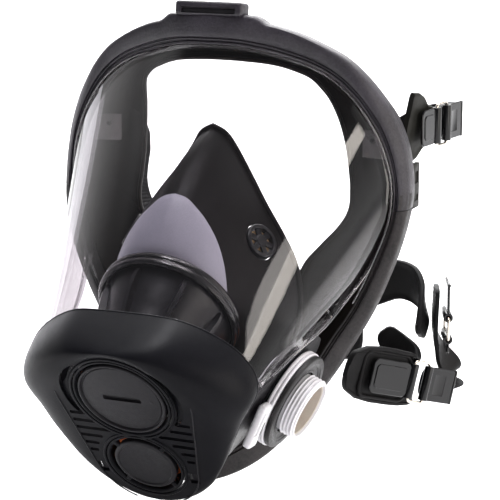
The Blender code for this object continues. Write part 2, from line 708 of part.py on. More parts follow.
def make_ports():
    for s, side in ((1, "left"), (-1, "right")):
        c, ax = (PORT_C, PORT_AXIS) if s > 0 else (mirror(PORT_C), mirror(PORT_AXIS))
        r, L = THREAD_R, THREAD_LEN
        prof = [(r - 1.6, L)]
        prof += [(r - 0.5, L), (r - 0.5, L - 0.6)]
        pitch = 1.9
        for k in range(3):
            h = L - 0.9 - k * pitch
            prof += [(r, h), (r, h - 0.7), (r - 0.9, h - 1.1)]
        prof += [(r - 0.9, -14.3), (16.6, -14.3), (16.6, -16.2), (PORT_BORE_R - 2.6, -16.2),
                 (PORT_BORE_R - 2.6, -14.6), (PORT_BORE_R, -14.6), (PORT_BORE_R, L)]
        turned("inhalation_connector_" + side, prof, c, ax, "white", 20)
        turned("connector_gasket_" + side, [(GASKET_R, -0.2), (GASKET_R - 0.5, 0.2), (19.5, 0.2), (19.2, -0.6), (r + 0.35, -0.6),
                                            (r + 0.35, -2.2), (GASKET_R, -2.2)], c, ax, "rubber", 28)
        turned("connector_nut_" + side, [(GASKET_R + 0.6, -2.6), (GASKET_R + 0.6, -6.2), (r + 0.4, -6.2), (r + 0.4, -2.6)],
               c, ax, "white", 28)
        leaf = turned("inhalation_valve_" + side, [(0, -16.6), (11.6, -16.6), (11.6, -17.5), (0, -17.5)], c, ax, "tan", 24)
        origin_at(leaf, c - ax * 17.05)
        # angular lock tab between the ring and the cover
        m = Vector((0, -1, 0))
        fwd = (m - ax * m.dot(ax)).normalized()
        upv = ax.cross(fwd) * (1 if s > 0 else -1)
        if upv.z < 0:
            upv = -upv
        rot = Matrix((fwd, upv, ax if s > 0 else ax)).transposed()
        if rot.determinant() < 0:
            rot = Matrix((fwd, -upv, ax)).transposed()
        tab = box("connector_lock_tab_" + side, c + fwd * 28.2 - ax * 4.3 - upv * 6.0, (7.6, 22.0, 4.2), "white", rot=rot, bevel=1.4)
        boolean(tab, box("notch", c + fwd * 25.0 - ax * 2.6 - upv * 8.0, (3.4, 9.0, 3.0), "white", rot=rot, cutter=True))
        tidy(tab)


# ------------------------------------------------------------------ harness
def ribbon(name, points, wdirs, widths, thick, n, look, bulge=0.0):
    """Flat strap along a smooth path; width directions and widths follow the path's points."""
    path = smooth(points, n)
    m = len(points)
    rows = []
    for k in range(n):
        f = (m - 1) * k / (n - 1)
        i = min(int(f), m - 2)
        w = V(wdirs[i]).lerp(V(wdirs[i + 1]), f - i)
        wd = (widths[i] * (1 - f + i) + widths[i + 1] * (f - i)) * 0.5
        a, b = path[max(k - 1, 0)], path[min(k + 1, n - 1)]
        t = (b - a).normalized()
        w = (w - t * w.dot(t)).normalized()
        nn = t.cross(w).normalized()
        h = thick * 0.5
        p = path[k]
        c = min(0.6, h * 0.6)
        rows.append([p - w * (wd - c) - nn * h, p + w * (wd - c) - nn * h, p + w * wd,
                     p + w * (wd - c) + nn * h, p - w * (wd - c) + nn * h, p - w * wd])
    return shade(finish(name, grid_mesh(name, rows, cap_ends=True), look))


BUCKLE_W = 17.0
ROLL_R, ROLL_BORE, WIRE_R = 2.3, 1.15, 0.75


def tube_bar(name, c, w, length, look):
    ob = turned(name, [(ROLL_R, length / 2), (ROLL_R, -length / 2), (ROLL_BORE, -length / 2), (ROLL_BORE, length / 2)],
                c, w, look, 12)
    return ob


def make_buckle(prefix, origin, d, w, base=15.0, finger=16.0, span=11.0):
    """Buckle plate, wire loop and finger plate. d runs along the strap, w across it."""
    d, w = V(d).normalized(), V(w)
    w = (w - d * w.dot(d)).normalized()
    n = d.cross(w)
    o = V(origin)
    a1 = o + d * (base + ROLL_R)
    a2 = a1 + d * span
    rot = Matrix((d, w, n)).transposed()
    plate = box(prefix + "_buckle_plate", o + d * (base / 2 + 0.4) , (base + 0.8, BUCKLE_W, 1.3), "black_metal", rot=rot)
    roll = tube_bar("roll", a1, w, BUCKLE_W, "black_metal")
    boolean(plate, cylinder("b", ROLL_R - 0.5, a1 - w * 12, a1 + w * 12, "cap", 12, True))
    boolean(plate, roll, 'UNION')
    shade(tidy(plate))
    lever = box(prefix + "_finger_plate", a2 + d * (finger / 2 + 1.2), (finger, BUCKLE_W, 1.3), "black_metal", rot=rot)
    roll = tube_bar("roll", a2, w, BUCKLE_W, "black_metal")
    boolean(lever, cylinder("b", ROLL_R - 0.5, a2 - w * 12, a2 + w * 12, "cap", 12, True))
    boolean(lever, roll, 'UNION')
    origin_at(shade(tidy(lever)), a2)
    # closed wire loop through both rollers
    hw = BUCKLE_W / 2 + 1.4
    r = 1.2
    cu = bpy.data.curves.new(prefix + "_wire_loop", 'CURVE')
    cu.dimensions = '3D'
    cu.bevel_depth = WIRE_R * MM
    cu.bevel_resolution = 1
    cu.resolution_u = 1
    cu.render_resolution_u = 0
    sp = cu.splines.new('POLY')
    pts = [a1 - w * (hw - r), a1 + w * (hw - r), a1 + w * hw + d * r, a2 + w * hw - d * r,
           a2 + w * (hw - r), a2 - w * (hw - r), a2 - w * hw - d * r, a1 - w * hw + d * r]
    sp.points.add(len(pts) - 1)
    for q, p in zip(sp.points, pts):
        q.co = (*(p * MM), 1)
    sp.use_cyclic_u = True
    cu.use_fill_caps = False
    ob = bpy.data.objects.new(prefix + "_wire_loop", cu)
    bpy.context.scene.collection.objects.link(ob)
    ob = settle(ob, prefix + "_wire_loop", "steel")
    origin_at(ob, a1)
    return {"a1": a1, "a2": a2, "d": d, "w": w, "n": n}


def flip(points, s):
    return [(p[0] * s, p[1], p[2]) for p in points]


def make_harness():
    for s, side in ((1, "left"), (-1, "right")):
        # upper lug and buckle
        lug = ribbon("upper_lug_" + side, flip([(80.6, -4.4, 65.4), (81.6, -1.0, 65.0), (82.5, 4, 64.6), (83.4, 12, 64.2), (84.0, 18, 64)], s),
                     flip([(0.12, 0, 1)] * 5, s), [34, 34, 30, 21, 19], 2.6, 9, "olive")
        d = V((0.11 * s, 0.994, 0.0))
        make_buckle("upper_" + side, (86.8 * s, 1.0, 64.4), d, V((0, 0, 1)) * s, base=14.0, finger=15.0)
        # lower lug with its curled comfort tongue, and the buckle on its outer face
        dl = V((0.47, 0.835, -0.28)).normalized()
        nl = dl.cross(V((0, 0, 1))).normalized()
        p0 = V((58.6, -14.9, -50.4))
        lug = [p0, p0 + dl * 10, p0 + dl * 22, p0 + dl * 34, p0 + dl * 42 - nl * 2.4 + V((0, 0, 1)), p0 + dl * 45 - nl * 9 + V((0, 0, 6)),
               p0 + dl * 42 - nl * 15 + V((0, 0, 12)), p0 + dl * 36 - nl * 19 + V((0, 0, 18))]
        ribbon("lower_lug_" + side, flip(lug, s), flip([(0.1, 0.05, 1)] * 8, s), [28, 27, 27, 26, 25, 25, 21, 9], 3.0, 19, "rubber")
        bo = p0 + dl * 10 + nl * 4.4
        make_buckle("lower_" + side, (bo.x * s, bo.y, bo.z), V((dl.x * s, dl.y, dl.z)), V((0, 0, 1)) * s, base=24.0, finger=17.0, span=10.0)
        # buckle of the harness arm, standing on edge
        make_buckle("arm_" + side, (88.9 * s, 37.5, -50.0), V((0.0, 0.0, 1)), V((0.4, -0.9 * s, 0)), base=5.0, finger=15.0)
        # lower ribbed strap between the two buckles
        st = [p0 + dl * 46 + nl * 0.9, p0 + dl * 56 + nl * 0.9, p0 + dl * 64 + nl * 0.4, p0 + dl * 69 - nl * 3.5 + V((0, 0, 2)),
              V((89.0, 46.5, -62)), V((84.0, 43.0, -52)), V((82.4, 39.6, -42)), V((82.8, 38.0, -32)), V((83.6, 37.2, -18))]
        ribbon("lower_strap_" + side, flip(st, s),
               flip([(0, 0, 1), (0, 0, 1), (0.1, 0.1, 1), (0.0, 0.4, 0.9), (-0.1, 0.8, 0.6), (-0.3, 0.9, 0.2), (-0.4, 0.9, 0), (-0.4, 0.9, 0), (-0.4, 0.9, 0)], s),
               [STRAP_W] * 9, STRAP_T, 22, "rubber")
    ribbon("upper_strap_left", [(84.2, 24.0, 64.2), (86.2, 40.5, 64.2), (87.4, 48.5, 63.8), (82.5, 53.6, 63), (71, 51.6, 60.5), (58, 48.4, 52), (49.5, 46.0, 34), (44, 45.5, 10), (30, 48.6, -16)],
           [(0, 0, 1), (0, 0, 1), (0, 0.05, 1), (0.0, 0, 1), (0.25, 0.05, 1), (0.7, 0.15, 0.7), (0.95, 0.2, 0.2), (0.95, 0.1, -0.2), (0.85, 0.1, -0.5)],
           [STRAP_W] * 9, STRAP_T, 24, "rubber")
    ribbon("upper_strap_right", [(-84.2, 24.0, 64.2), (-86.2, 40.5, 64.2), (-88.0, 48.5, 63.6), (-88.4, 54.5, 58), (-88, 52, 44), (-84, 44, 16), (-70, 40, 0), (-50, 46, -8), (-34, 51.8, -16)],
           [(0, 0, 1), (0, 0, 1), (0, 0.1, 1), (0.2, 0.3, 0.9), (0.3, 0.9, 0.2), (0.3, 0.9, 0.1), (0.5, 0.3, 0.8), (0.4, 0, 0.9), (0.4, 0, 0.9)],
           [STRAP_W] * 9, STRAP_T, 24, "rubber")
    # head harness: pad with two wide arms
    pad = box("head_harness", (0, 56.5, -43.5), (76, 3.2, 45), "rubber", bevel=1.2, segs=2)
    arms = []
    for s, side in ((1, "left"), (-1, "right")):
        arm = ribbon("arm", flip([(30, 56.4, -31.5), (45, 54.8, -25), (57, 50.8, -20), (67, 46.2, -20), (74.5, 41.0, -25), (77.6, 36.0, -30.6), (78.4, 31.8, -36), (78.2, 28.2, -41.5)], s),
                     flip([(0.2, 0, 1), (0.05, 0, 1), (0.0, 0, 1), (0.0, 0.0, 1), (0.0, 0.0, 1), (0.0, -0.3, 1), (0.0, -0.8, 0.8), (0.1, -0.85, 0.55)], s),
                     [20, 20, 20, 20, 19, 17, 16, 15], 2.4, 20, "rubber")
        boolean(pad, arm, 'UNION')
    shade(tidy(pad))


def make_trim():
    bar = box("top_clip_bar", (0, -41.8, 120.7), (35, 9.5, 6.6), "frame", rot=Matrix.Rotation(math.radians(-8), 3, 'X'), bevel=1.3, segs=2)
    for s, side in ((1, "left"), (-1, "right")):
        box("frame_clip_" + side, (85.6 * s, -5.2, 39.0), (2.4, 9.0, 21.0), "olive", bevel=0.5, segs=1)
        boss = CAP_CENTRE
    collar = turned("nose_cup_collar", [(r, -h) for r, h in ((31.6, 58.4), (33.4, 57.4), (33.4, 51.8), (31.6, 51.0), (30.9, 51.4), (30.9, 58.0))],
                    CAP_CENTRE, FACE_N, "cover", 26)


make_upper_frame()
make_lower_frame()
make_lens()
make_skirt()
make_cover()
make_speech()
make_exhale()
make_housing()
make_bell()
make_cup()
make_checks()
make_ports()
make_harness()
make_trim()
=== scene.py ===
"""Looks for the full face respirator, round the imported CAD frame."""
import json
import math
import bpy
import bmesh
from mathutils import Vector, Matrix

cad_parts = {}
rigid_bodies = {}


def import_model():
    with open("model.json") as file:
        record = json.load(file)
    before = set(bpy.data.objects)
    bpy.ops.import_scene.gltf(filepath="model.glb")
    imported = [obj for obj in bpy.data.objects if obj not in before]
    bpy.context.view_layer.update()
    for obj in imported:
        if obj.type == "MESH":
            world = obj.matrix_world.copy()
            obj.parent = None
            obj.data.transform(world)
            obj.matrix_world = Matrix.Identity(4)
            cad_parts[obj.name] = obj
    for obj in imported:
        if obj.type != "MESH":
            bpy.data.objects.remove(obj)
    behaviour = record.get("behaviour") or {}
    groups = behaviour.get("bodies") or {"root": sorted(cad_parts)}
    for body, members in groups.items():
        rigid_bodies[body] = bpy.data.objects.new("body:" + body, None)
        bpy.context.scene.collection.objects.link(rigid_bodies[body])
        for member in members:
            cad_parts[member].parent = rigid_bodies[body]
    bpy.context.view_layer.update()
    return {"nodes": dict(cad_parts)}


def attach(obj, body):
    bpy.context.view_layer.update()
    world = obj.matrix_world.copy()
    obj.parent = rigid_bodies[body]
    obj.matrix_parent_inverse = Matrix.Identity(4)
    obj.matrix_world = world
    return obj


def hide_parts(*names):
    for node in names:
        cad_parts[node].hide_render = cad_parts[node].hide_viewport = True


for ob in list(bpy.data.objects):
    bpy.data.objects.remove(ob, do_unlink=True)
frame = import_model()

MM = 0.001
GAP = 0.35                      # clearance between neighbouring pieces, mm

# ------------------------------------------------------------------ sizes, mm
FRAME_DEPTH = 9.0              # clamp frame, front to back
FRAME_CROWN = 1.6               # how far the frame's face is crowned
LENS_THICK = 2.2
LENS_COLLAR = 6.0               # lens edge that runs back inside the frame
SKIRT_THICK = 2.6
COVER_THICK = 2.2

CAP_CENTRE = Vector((0.0, -136.0, -39.3))     # centre of the speech cap's face
CAP_TILT = math.radians(31.4)                 # its normal points this far down
CAP_R = 20.6                    # speech cap face
CAP_HOLE_R = 23.4               # hole in the cover round the cap
VENT_DROP = 42.0                # cap centre to vent centre, down the face
VENT_R = 18.9                   # exhalation guard opening
VENT_DISC_R = 14.8
SLOT_PITCH = 4.74               # louvre slots, down the face
SLOT_H = 1.9
# louvre slots, each side: (inner end, outer end) across, top to bottom
SLOTS = ((22.7, 30.7), (18.4, 30.5), (11.9, 30.1), (17.2, 29.4), (20.2, 28.4), (21.8, 27.3))
SLOT_FIRST = -12.7              # first slot, measured up the face from the cap centre

PORT_C = Vector((55.5, -73.4, -51.2))         # outer face of the port gasket
PORT_AXIS = Vector((0.917, -0.02, -0.40)).normalized()
GASKET_R = 23.0
THREAD_R = 14.8
THREAD_LEN = 7.4
PORT_BORE_R = 12.6

BELL_R = 30.5                   # speech bell, at its collar
STRAP_W = 15.0
STRAP_T = 2.2

# outer edge of the clamp frame, from the middle of the top down the wearer's left
OUTER = ((0, -46, 116.4), (15, -44.5, 115.8), (28.5, -41, 114.2), (39.8, -38, 110.8),
         (50.6, -35, 105.8), (60.4, -31.5, 99.8), (68.8, -28.2, 91.6), (75.9, -24.8, 82.1),
         (82, -21.5, 72), (86.3, -20, 60.2), (88.5, -20, 48.2), (89.3, -21, 36.1),
         (88.2, -24, 24.2), (85.2, -26.5, 11), (80.0, -28, -4), (73.6, -28.5, -18.6),
         (66.2, -29.5, -32), (56.2, -31.5, -49), (45.2, -38, -66), (33.2, -52.5, -83.5), (18, -66, -93),
         (0, -71, -96.5))
# inner edge of the clamp frame, same stations
INNER = ((0, -47, 105), (13, -45.5, 104.6), (24, -42, 102.6), (34, -38.5, 100),
         (45, -35.6, 96.5), (55, -33, 91.2), (63.6, -31.2, 84), (70.3, -29.6, 75.5),
         (75.9, -28, 66), (80.1, -26.8, 55), (82.3, -25.8, 45), (82.9, -26, 35.2),
         (81.8, -27.5, 24), (77.6, -30, 10.6), (71.2, -32, -5), (64.4, -33.5, -18), (56.8, -36, -30),
         (47.4, -40, -46), (37.6, -48.5, -59), (28, -61, -72), (14, -73, -81), (0, -77, -85))
# edge of the face opening in the seal, same stations
OPENING = ((0, -44, 97.5), (13, -43, 97), (24.6, -39.5, 95.6), (33.3, -34.2, 93),
           (41.6, -25.8, 89), (47, -18.5, 82), (50.3, -11.5, 71), (52.6, -7.5, 58.8),
           (54, -6, 47.2), (55.3, -6.4, 36), (55.5, -9, 26), (52, -13, 18),
           (44, -18, 9), (36, -21, -1), (32, -23, -14), (30.5, -25, -28), (28, -28, -41),
           (24, -32, -52), (18, -37, -60), (11, -41, -65), (5, -43, -67), (0, -43.5, -68))
# lens edge below the frame joint: it leaves the frame and runs forward to the cover
LENS_TAIL = ((73.9, -32.2, 2.6), (68.8, -43, -8.0), (63.5, -60, -19), (59, -78, -25.6),
             (57, -97, -30.5), (55.6, -113, -33.5))
# front edge of the lens, hidden under the cover, from the middle to the corner
LENS_FRONT = ((0, -129.2, -6), (12, -129, -6.4), (24, -127.4, -8.2), (34, -123.8, -12),
              (43.5, -119.8, -17.6), (50.5, -116.9, -24), (55.2, -114.2, -31.5))
# back rim of the chin cover, from the middle of the top down the wearer's left
COVER_RIM = ((0, -131.6, -1.6), (12, -131.3, -1.8), (24.2, -130, -3), (34.5, -126.4, -7),
             (44.1, -122.4, -13), (50.6, -119.8, -19), (55.5, -118, -27), (56.2, -118.4, -34.5),
             (53.4, -119.6, -41), (49, -118.8, -48.5), (44.6, -116.8, -57.2),
             (40.2, -114, -65.9), (35.6, -111.2, -73.8), (29.5, -106.5, -82),
             (21, -101.8, -89), (11, -98.6, -93.4), (0, -97.4, -94.8))
FLOOR_Z = -0.125

HOUSING_FRONT = ((53.0, -112, -37.2), (50.5, -112.5, -42), (46.5, -111.5, -49.5), (41.8, -109.5, -58),
                 (36.8, -107, -66.5), (31.5, -103.5, -74), (24.5, -98.5, -81), (13, -94, -86.5), (0, -92, -88.5))

CUP_EDGE = ((0, -41.2, 67), (6, -40.2, 63.6), (10.8, -38.9, 56.5), (18.9, -40.2, 44), (27.7, -43.4, 31.6), (36.4, -45.4, 19.6),
            (43.5, -46.6, 7.4), (46, -46, -6), (45, -45, -20), (40, -44, -35), (31, -43.5, -47),
            (17, -43, -56), (0, -43, -60))

HOUSING_BACK = ((61.0, -62, -22.3), (57.2, -49, -27.6), (52.2, -42.6, -36), (46.0, -42.6, -45.5), (39.6, -47.6, -55),
                (33.0, -55, -64), (25, -64, -72.5), (13, -73.5, -79.5), (0, -77, -82))

CUP_MID = ((0, -82, 42.5), (6, -81.4, 41), (11, -80.5, 37.2), (16, -79.5, 33), (23, -77.5, 25), (29.5, -75.5, 14),
           (33.5, -73.5, 2), (35, -71.5, -9), (34.5, -68.5, -20), (31, -65, -31), (24.5, -62, -40),
           (13.5, -60, -46), (0, -59.5, -48))

CHECK_C = Vector((31.5, -60.5, 18.0))
CHECK_AXIS = Vector((0.80, -0.30, 0.52)).normalized()


def V(p):
    return Vector((p[0], p[1], p[2]))


def smooth(points, n, closed=False):
    """Catmull-Rom curve through the points, n samples evenly spaced by length."""
    pts = [V(p) for p in points]
    out = []
    cnt = len(pts)
    for i in range(cnt - 1):
        p0 = pts[i - 1] if i else pts[0] * 2 - pts[1]
        p1, p2 = pts[i], pts[i + 1]
        p3 = pts[i + 2] if i + 2 < cnt else pts[-1] * 2 - pts[-2]
        for k in range(16):
            t = k / 16.0
            out.append(0.5 * ((2 * p1) + (p2 - p0) * t + (2 * p0 - 5 * p1 + 4 * p2 - p3) * t * t
                              + (3 * p1 - p0 - 3 * p2 + p3) * t ** 3))
    out.append(pts[-1].copy())
    acc = [0.0]
    for a, b in zip(out, out[1:]):
        acc.append(acc[-1] + (b - a).length)
    res, j = [], 0
    for k in range(n):
        d = acc[-1] * k / (n - 1)
        while j < len(acc) - 2 and acc[j + 1] < d:
            j += 1
        seg = acc[j + 1] - acc[j]
        res.append(out[j].lerp(out[j + 1], (d - acc[j]) / seg if seg else 0.0))
    return res


def by_station(points, u):
    """Catmull-Rom at fractional station u."""
    pts = [V(p) for p in points]
    i = min(int(u), len(pts) - 2)
    t = u - i
    p0 = pts[i - 1] if i else mirror(pts[1])
    p1, p2 = pts[i], pts[i + 1]
    p3 = pts[i + 2] if i + 2 < len(pts) else mirror(pts[-2])
    return 0.5 * ((2 * p1) + (p2 - p0) * t + (2 * p0 - 5 * p1 + 4 * p2 - p3) * t * t
                  + (3 * p1 - p0 - 3 * p2 + p3) * t ** 3)


def mirror(p):
    return Vector((-p[0], p[1], p[2]))


def axes(direction, up=Vector((0, 0, 1))):
    """Matrix whose +Z is the direction."""
    z = direction.normalized()
    x = up.cross(z)
    if x.length < 1e-6:
        x = Vector((1, 0, 0))
    x.normalize()
    y = z.cross(x)
    m = Matrix((x, y, z)).transposed()
    return m.to_4x4()


FACE_N = Vector((0, -math.cos(CAP_TILT), -math.sin(CAP_TILT)))
FACE_U = Vector((0, -math.sin(CAP_TILT), math.cos(CAP_TILT)))
VENT_CENTRE = CAP_CENTRE - FACE_U * VENT_DROP
FACE_ROT = Matrix((Vector((1, 0, 0)), FACE_U, FACE_N)).transposed()
NODES = frame["nodes"]
SCENE = bpy.context.scene
LOOKS = bpy.data.collections.new("looks")
SCENE.collection.children.link(LOOKS)


def on_face(x, up, out=0.0):
    return CAP_CENTRE + Vector((1, 0, 0)) * x + FACE_U * up + FACE_N * out


def full_ring(half):
    return half + [mirror(p) for p in reversed(half[1:-1])]


def lens_rows(nu, nv):
    """Outer face of the lens: nu stations from top middle to the corner, nv along each."""
    edge = [by_station(INNER, 12.6 * k / 13) for k in range(14)]
    path = edge + [V(p) for p in LENS_TAIL]
    rim = smooth([tuple(p) for p in path], nu)
    front = smooth(LENS_FRONT, nu)
    rows = []
    for k in range(nu):
        c = Vector((0, rim[k].y, 40))
        inward = (c - rim[k]); inward.y = 0
        inward = inward.normalized() * (GAP + 0.1)
        a = rim[k] + inward
        collar = max(0.0, 1.0 - max(0.0, k / (nu - 1) - 0.60) / 0.12)
        back = a + Vector((0, 1, 0)) * (LENS_COLLAR * collar + 0.6)
        f = k / (nu - 1)
        b = front[min(nu - 1, int(round((nu - 1) * min(1.0, f / 0.60))))]
        ff = min(1.0, f / 0.60) * (nu - 1)
        j = min(int(ff), nu - 2)
        b = front[j].lerp(front[j + 1], ff - j)
        if f > 0.60:
            b = front[-1].lerp(front[-1] + Vector((0.2, 0.1, -1.7)), (f - 0.60) / 0.40)
        if k == nu - 1:
            a = b + Vector((0.2, 1.3, -0.6))
            back = a + Vector((0, 0.6, 0))
        rows.append([back] + [a.lerp(b, t / (nv - 1)) for t in range(nv)])
    return rows


def skirt_section(u):
    """Section of the rubber facepiece: clamped bead, outer wall, seal face, inner lip."""
    o, i, e = by_station(OUTER, u), by_station(INNER, u), by_station(OPENING, u)
    d = Vector((0, 1, 0))
    w = (o - i)
    inn = (e - i); inn.y = 0
    if inn.length < 0.1:
        inn = Vector((0, 0, -1))
    n = inn.normalized()
    g = i + n * 3.6
    back = Vector((e.x, max(e.y, i.y + FRAME_DEPTH + 4), e.z))
    m1 = (i + w * 0.42) + d * (FRAME_DEPTH + 0.9)
    m2 = (i + w * 0.30) + d * (FRAME_DEPTH + 5)
    m3 = i.lerp(back, 0.30) + d * (FRAME_DEPTH + 5.5)
    m4 = i.lerp(back, 0.75) + d * (FRAME_DEPTH + 2.0)
    tip = back + d * 0.5
    t = SKIRT_THICK
    k4 = i.lerp(back, 0.75) + d * (FRAME_DEPTH + 2.0 - t)
    k3 = i.lerp(back, 0.28) + d * (FRAME_DEPTH + 5.5 - t * 1.3)
    k2 = i + n * 1.2 + d * (FRAME_DEPTH + 1.4)
    k1 = i + n * 0.6 + d * (LENS_COLLAR + 2.0)
    k0 = i + n * -0.0 + d * (LENS_COLLAR + 2.0)
    root = i + n * 0.6 + d * (FRAME_DEPTH + 0.9)
    return [m1, m2, m3, m4, tip, tip - d * 1.0, k4, k3, k2, root]


def cover_rows(n):
    """Rings of the chin cover from its rim to the edge of its flat face."""
    rim_h = smooth(COVER_RIM, n)
    rows = [[], [], [], [], []]
    for k in range(n):
        f = k / (n - 1)
        a = math.pi * f
        # keyhole outline of the flat face: a big circle over a smaller one
        best = None
        for c, r in ((0.0, 31.0), (-VENT_DROP, 23.5)):
            q = Vector((math.sin(a) * r, math.cos(a) * r + c))
            s = q.x * math.sin(a) + q.y * math.cos(a)
            if best is None or s > best[0]:
                best = (s, q)
        q = best[1]
        flat = on_face(q.x, q.y, 0.0)
        rim = rim_h[k]
        proud = rim_h[k].copy()
        out = on_face(q.x * 1.0, q.y * 1.0) - CAP_CENTRE
        edge = rim + (rim - on_face(0, -10)).normalized() * 0.0
        # two shoulder points that round the cover over from rim to face
        lift = FACE_N * ((flat - rim).dot(FACE_N))
        corner = rim + lift
        b1 = rim.lerp(corner, 0.52).lerp(flat, 0.06)
        b2 = rim.lerp(corner, 0.86).lerp(flat, 0.26)
        b3 = rim.lerp(corner, 0.985).lerp(flat, 0.62)
        for row, p in zip(rows, (rim, b1, b2, b3, flat)):
            row.append(p)
    return [full_ring(r) for r in rows]


def cup_rows(n, m):
    e, c = smooth(CUP_EDGE, n), smooth(CUP_MID, n)
    cc = CAP_CENTRE - FACE_N * 60.6
    half = []
    for k in range(n):
        a = math.pi * k / (n - 1)
        ring = cc + Vector((1, 0, 0)) * math.sin(a) * 28.2 + FACE_U * math.cos(a) * 28.2
        mid, ed = c[k], e[k]
        row = []
        for j in range(m):
            t = j / (m - 1)
            # quadratic through edge, middle and ring
            p = ed * ((1 - t) * (1 - 2 * t)) + mid * (4 * t * (1 - t)) + ring * (t * (2 * t - 1))
            row.append(p)
        half.append(row)
    return half


# ------------------------------------------------------------------ materials
def surface(name, dark, light, rough=(0.4, 0.55), grain=2600.0, bump=0.12, patch=60.0, metal=0.0,
            coat=0.0, coat_rough=0.1, spec=0.5, sheen=0.0, wave=None):
    """Moulded or coated surface: patchy tone, grain in the bump and the roughness."""
    m = bpy.data.materials.new(name)
    m.use_nodes = True
    t = m.node_tree
    b = t.nodes["Principled BSDF"]
    co = t.nodes.new("ShaderNodeTexCoord")

    def noise(scale, detail, rgh=0.5):
        n = t.nodes.new("ShaderNodeTexNoise")
        n.inputs["Scale"].default_value = scale
        n.inputs["Detail"].default_value = detail
        n.inputs["Roughness"].default_value = rgh
        t.links.new(co.outputs["Object"], n.inputs["Vector"])
        return n
    big, fine, mid = noise(patch, 4.0), noise(grain, 3.0, 0.6), noise(grain * 0.22, 3.0, 0.6)
    ramp = t.nodes.new("ShaderNodeValToRGB")
    ramp.color_ramp.elements[0].position = 0.3
    ramp.color_ramp.elements[1].position = 0.72
    ramp.color_ramp.elements[0].color = (*dark, 1)
    ramp.color_ramp.elements[1].color = (*light, 1)
    add = t.nodes.new("ShaderNodeMath")
    add.operation = 'MULTIPLY_ADD'
    add.inputs[1].default_value = 0.45
    t.links.new(fine.outputs["Fac"], add.inputs[0])
    half = t.nodes.new("ShaderNodeMath")
    half.operation = 'MULTIPLY'
    half.inputs[1].default_value = 0.55
    t.links.new(big.outputs["Fac"], half.inputs[0])
    t.links.new(half.outputs[0], add.inputs[2])
    t.links.new(add.outputs[0], ramp.inputs["Fac"])
    t.links.new(ramp.outputs["Color"], b.inputs["Base Color"])
    mr = t.nodes.new("ShaderNodeMapRange")
    mr.inputs["From Min"].default_value = 0.3
    mr.inputs["From Max"].default_value = 0.7
    mr.inputs["To Min"].default_value = rough[0]
    mr.inputs["To Max"].default_value = rough[1]
    t.links.new(mid.outputs["Fac"], mr.inputs["Value"])
    t.links.new(mr.outputs["Result"], b.inputs["Roughness"])
    bp = t.nodes.new("ShaderNodeBump")
    bp.inputs["Strength"].default_value = bump
    bp.inputs["Distance"].default_value = 0.0002
    t.links.new(fine.outputs["Fac"], bp.inputs["Height"])
    last = bp
    if wave:
        w = t.nodes.new("ShaderNodeTexWave")
        w.inputs["Scale"].default_value = wave
        w.inputs["Distortion"].default_value = 0.6
        t.links.new(co.outputs["Object"], w.inputs["Vector"])
        b2 = t.nodes.new("ShaderNodeBump")
        b2.inputs["Strength"].default_value = 0.12
        b2.inputs["Distance"].default_value = 0.0002
        t.links.new(w.outputs["Fac"], b2.inputs["Height"])
        t.links.new(bp.outputs["Normal"], b2.inputs["Normal"])
        last = b2
    t.links.new(last.outputs["Normal"], b.inputs["Normal"])
    b.inputs["Metallic"].default_value = metal
    b.inputs["Specular IOR Level"].default_value = spec
    if coat:
        b.inputs["Coat Weight"].default_value = coat
        b.inputs["Coat Roughness"].default_value = coat_rough
    if sheen:
        b.inputs["Sheen Weight"].default_value = sheen
        b.inputs["Sheen Roughness"].default_value = 0.4
    return m


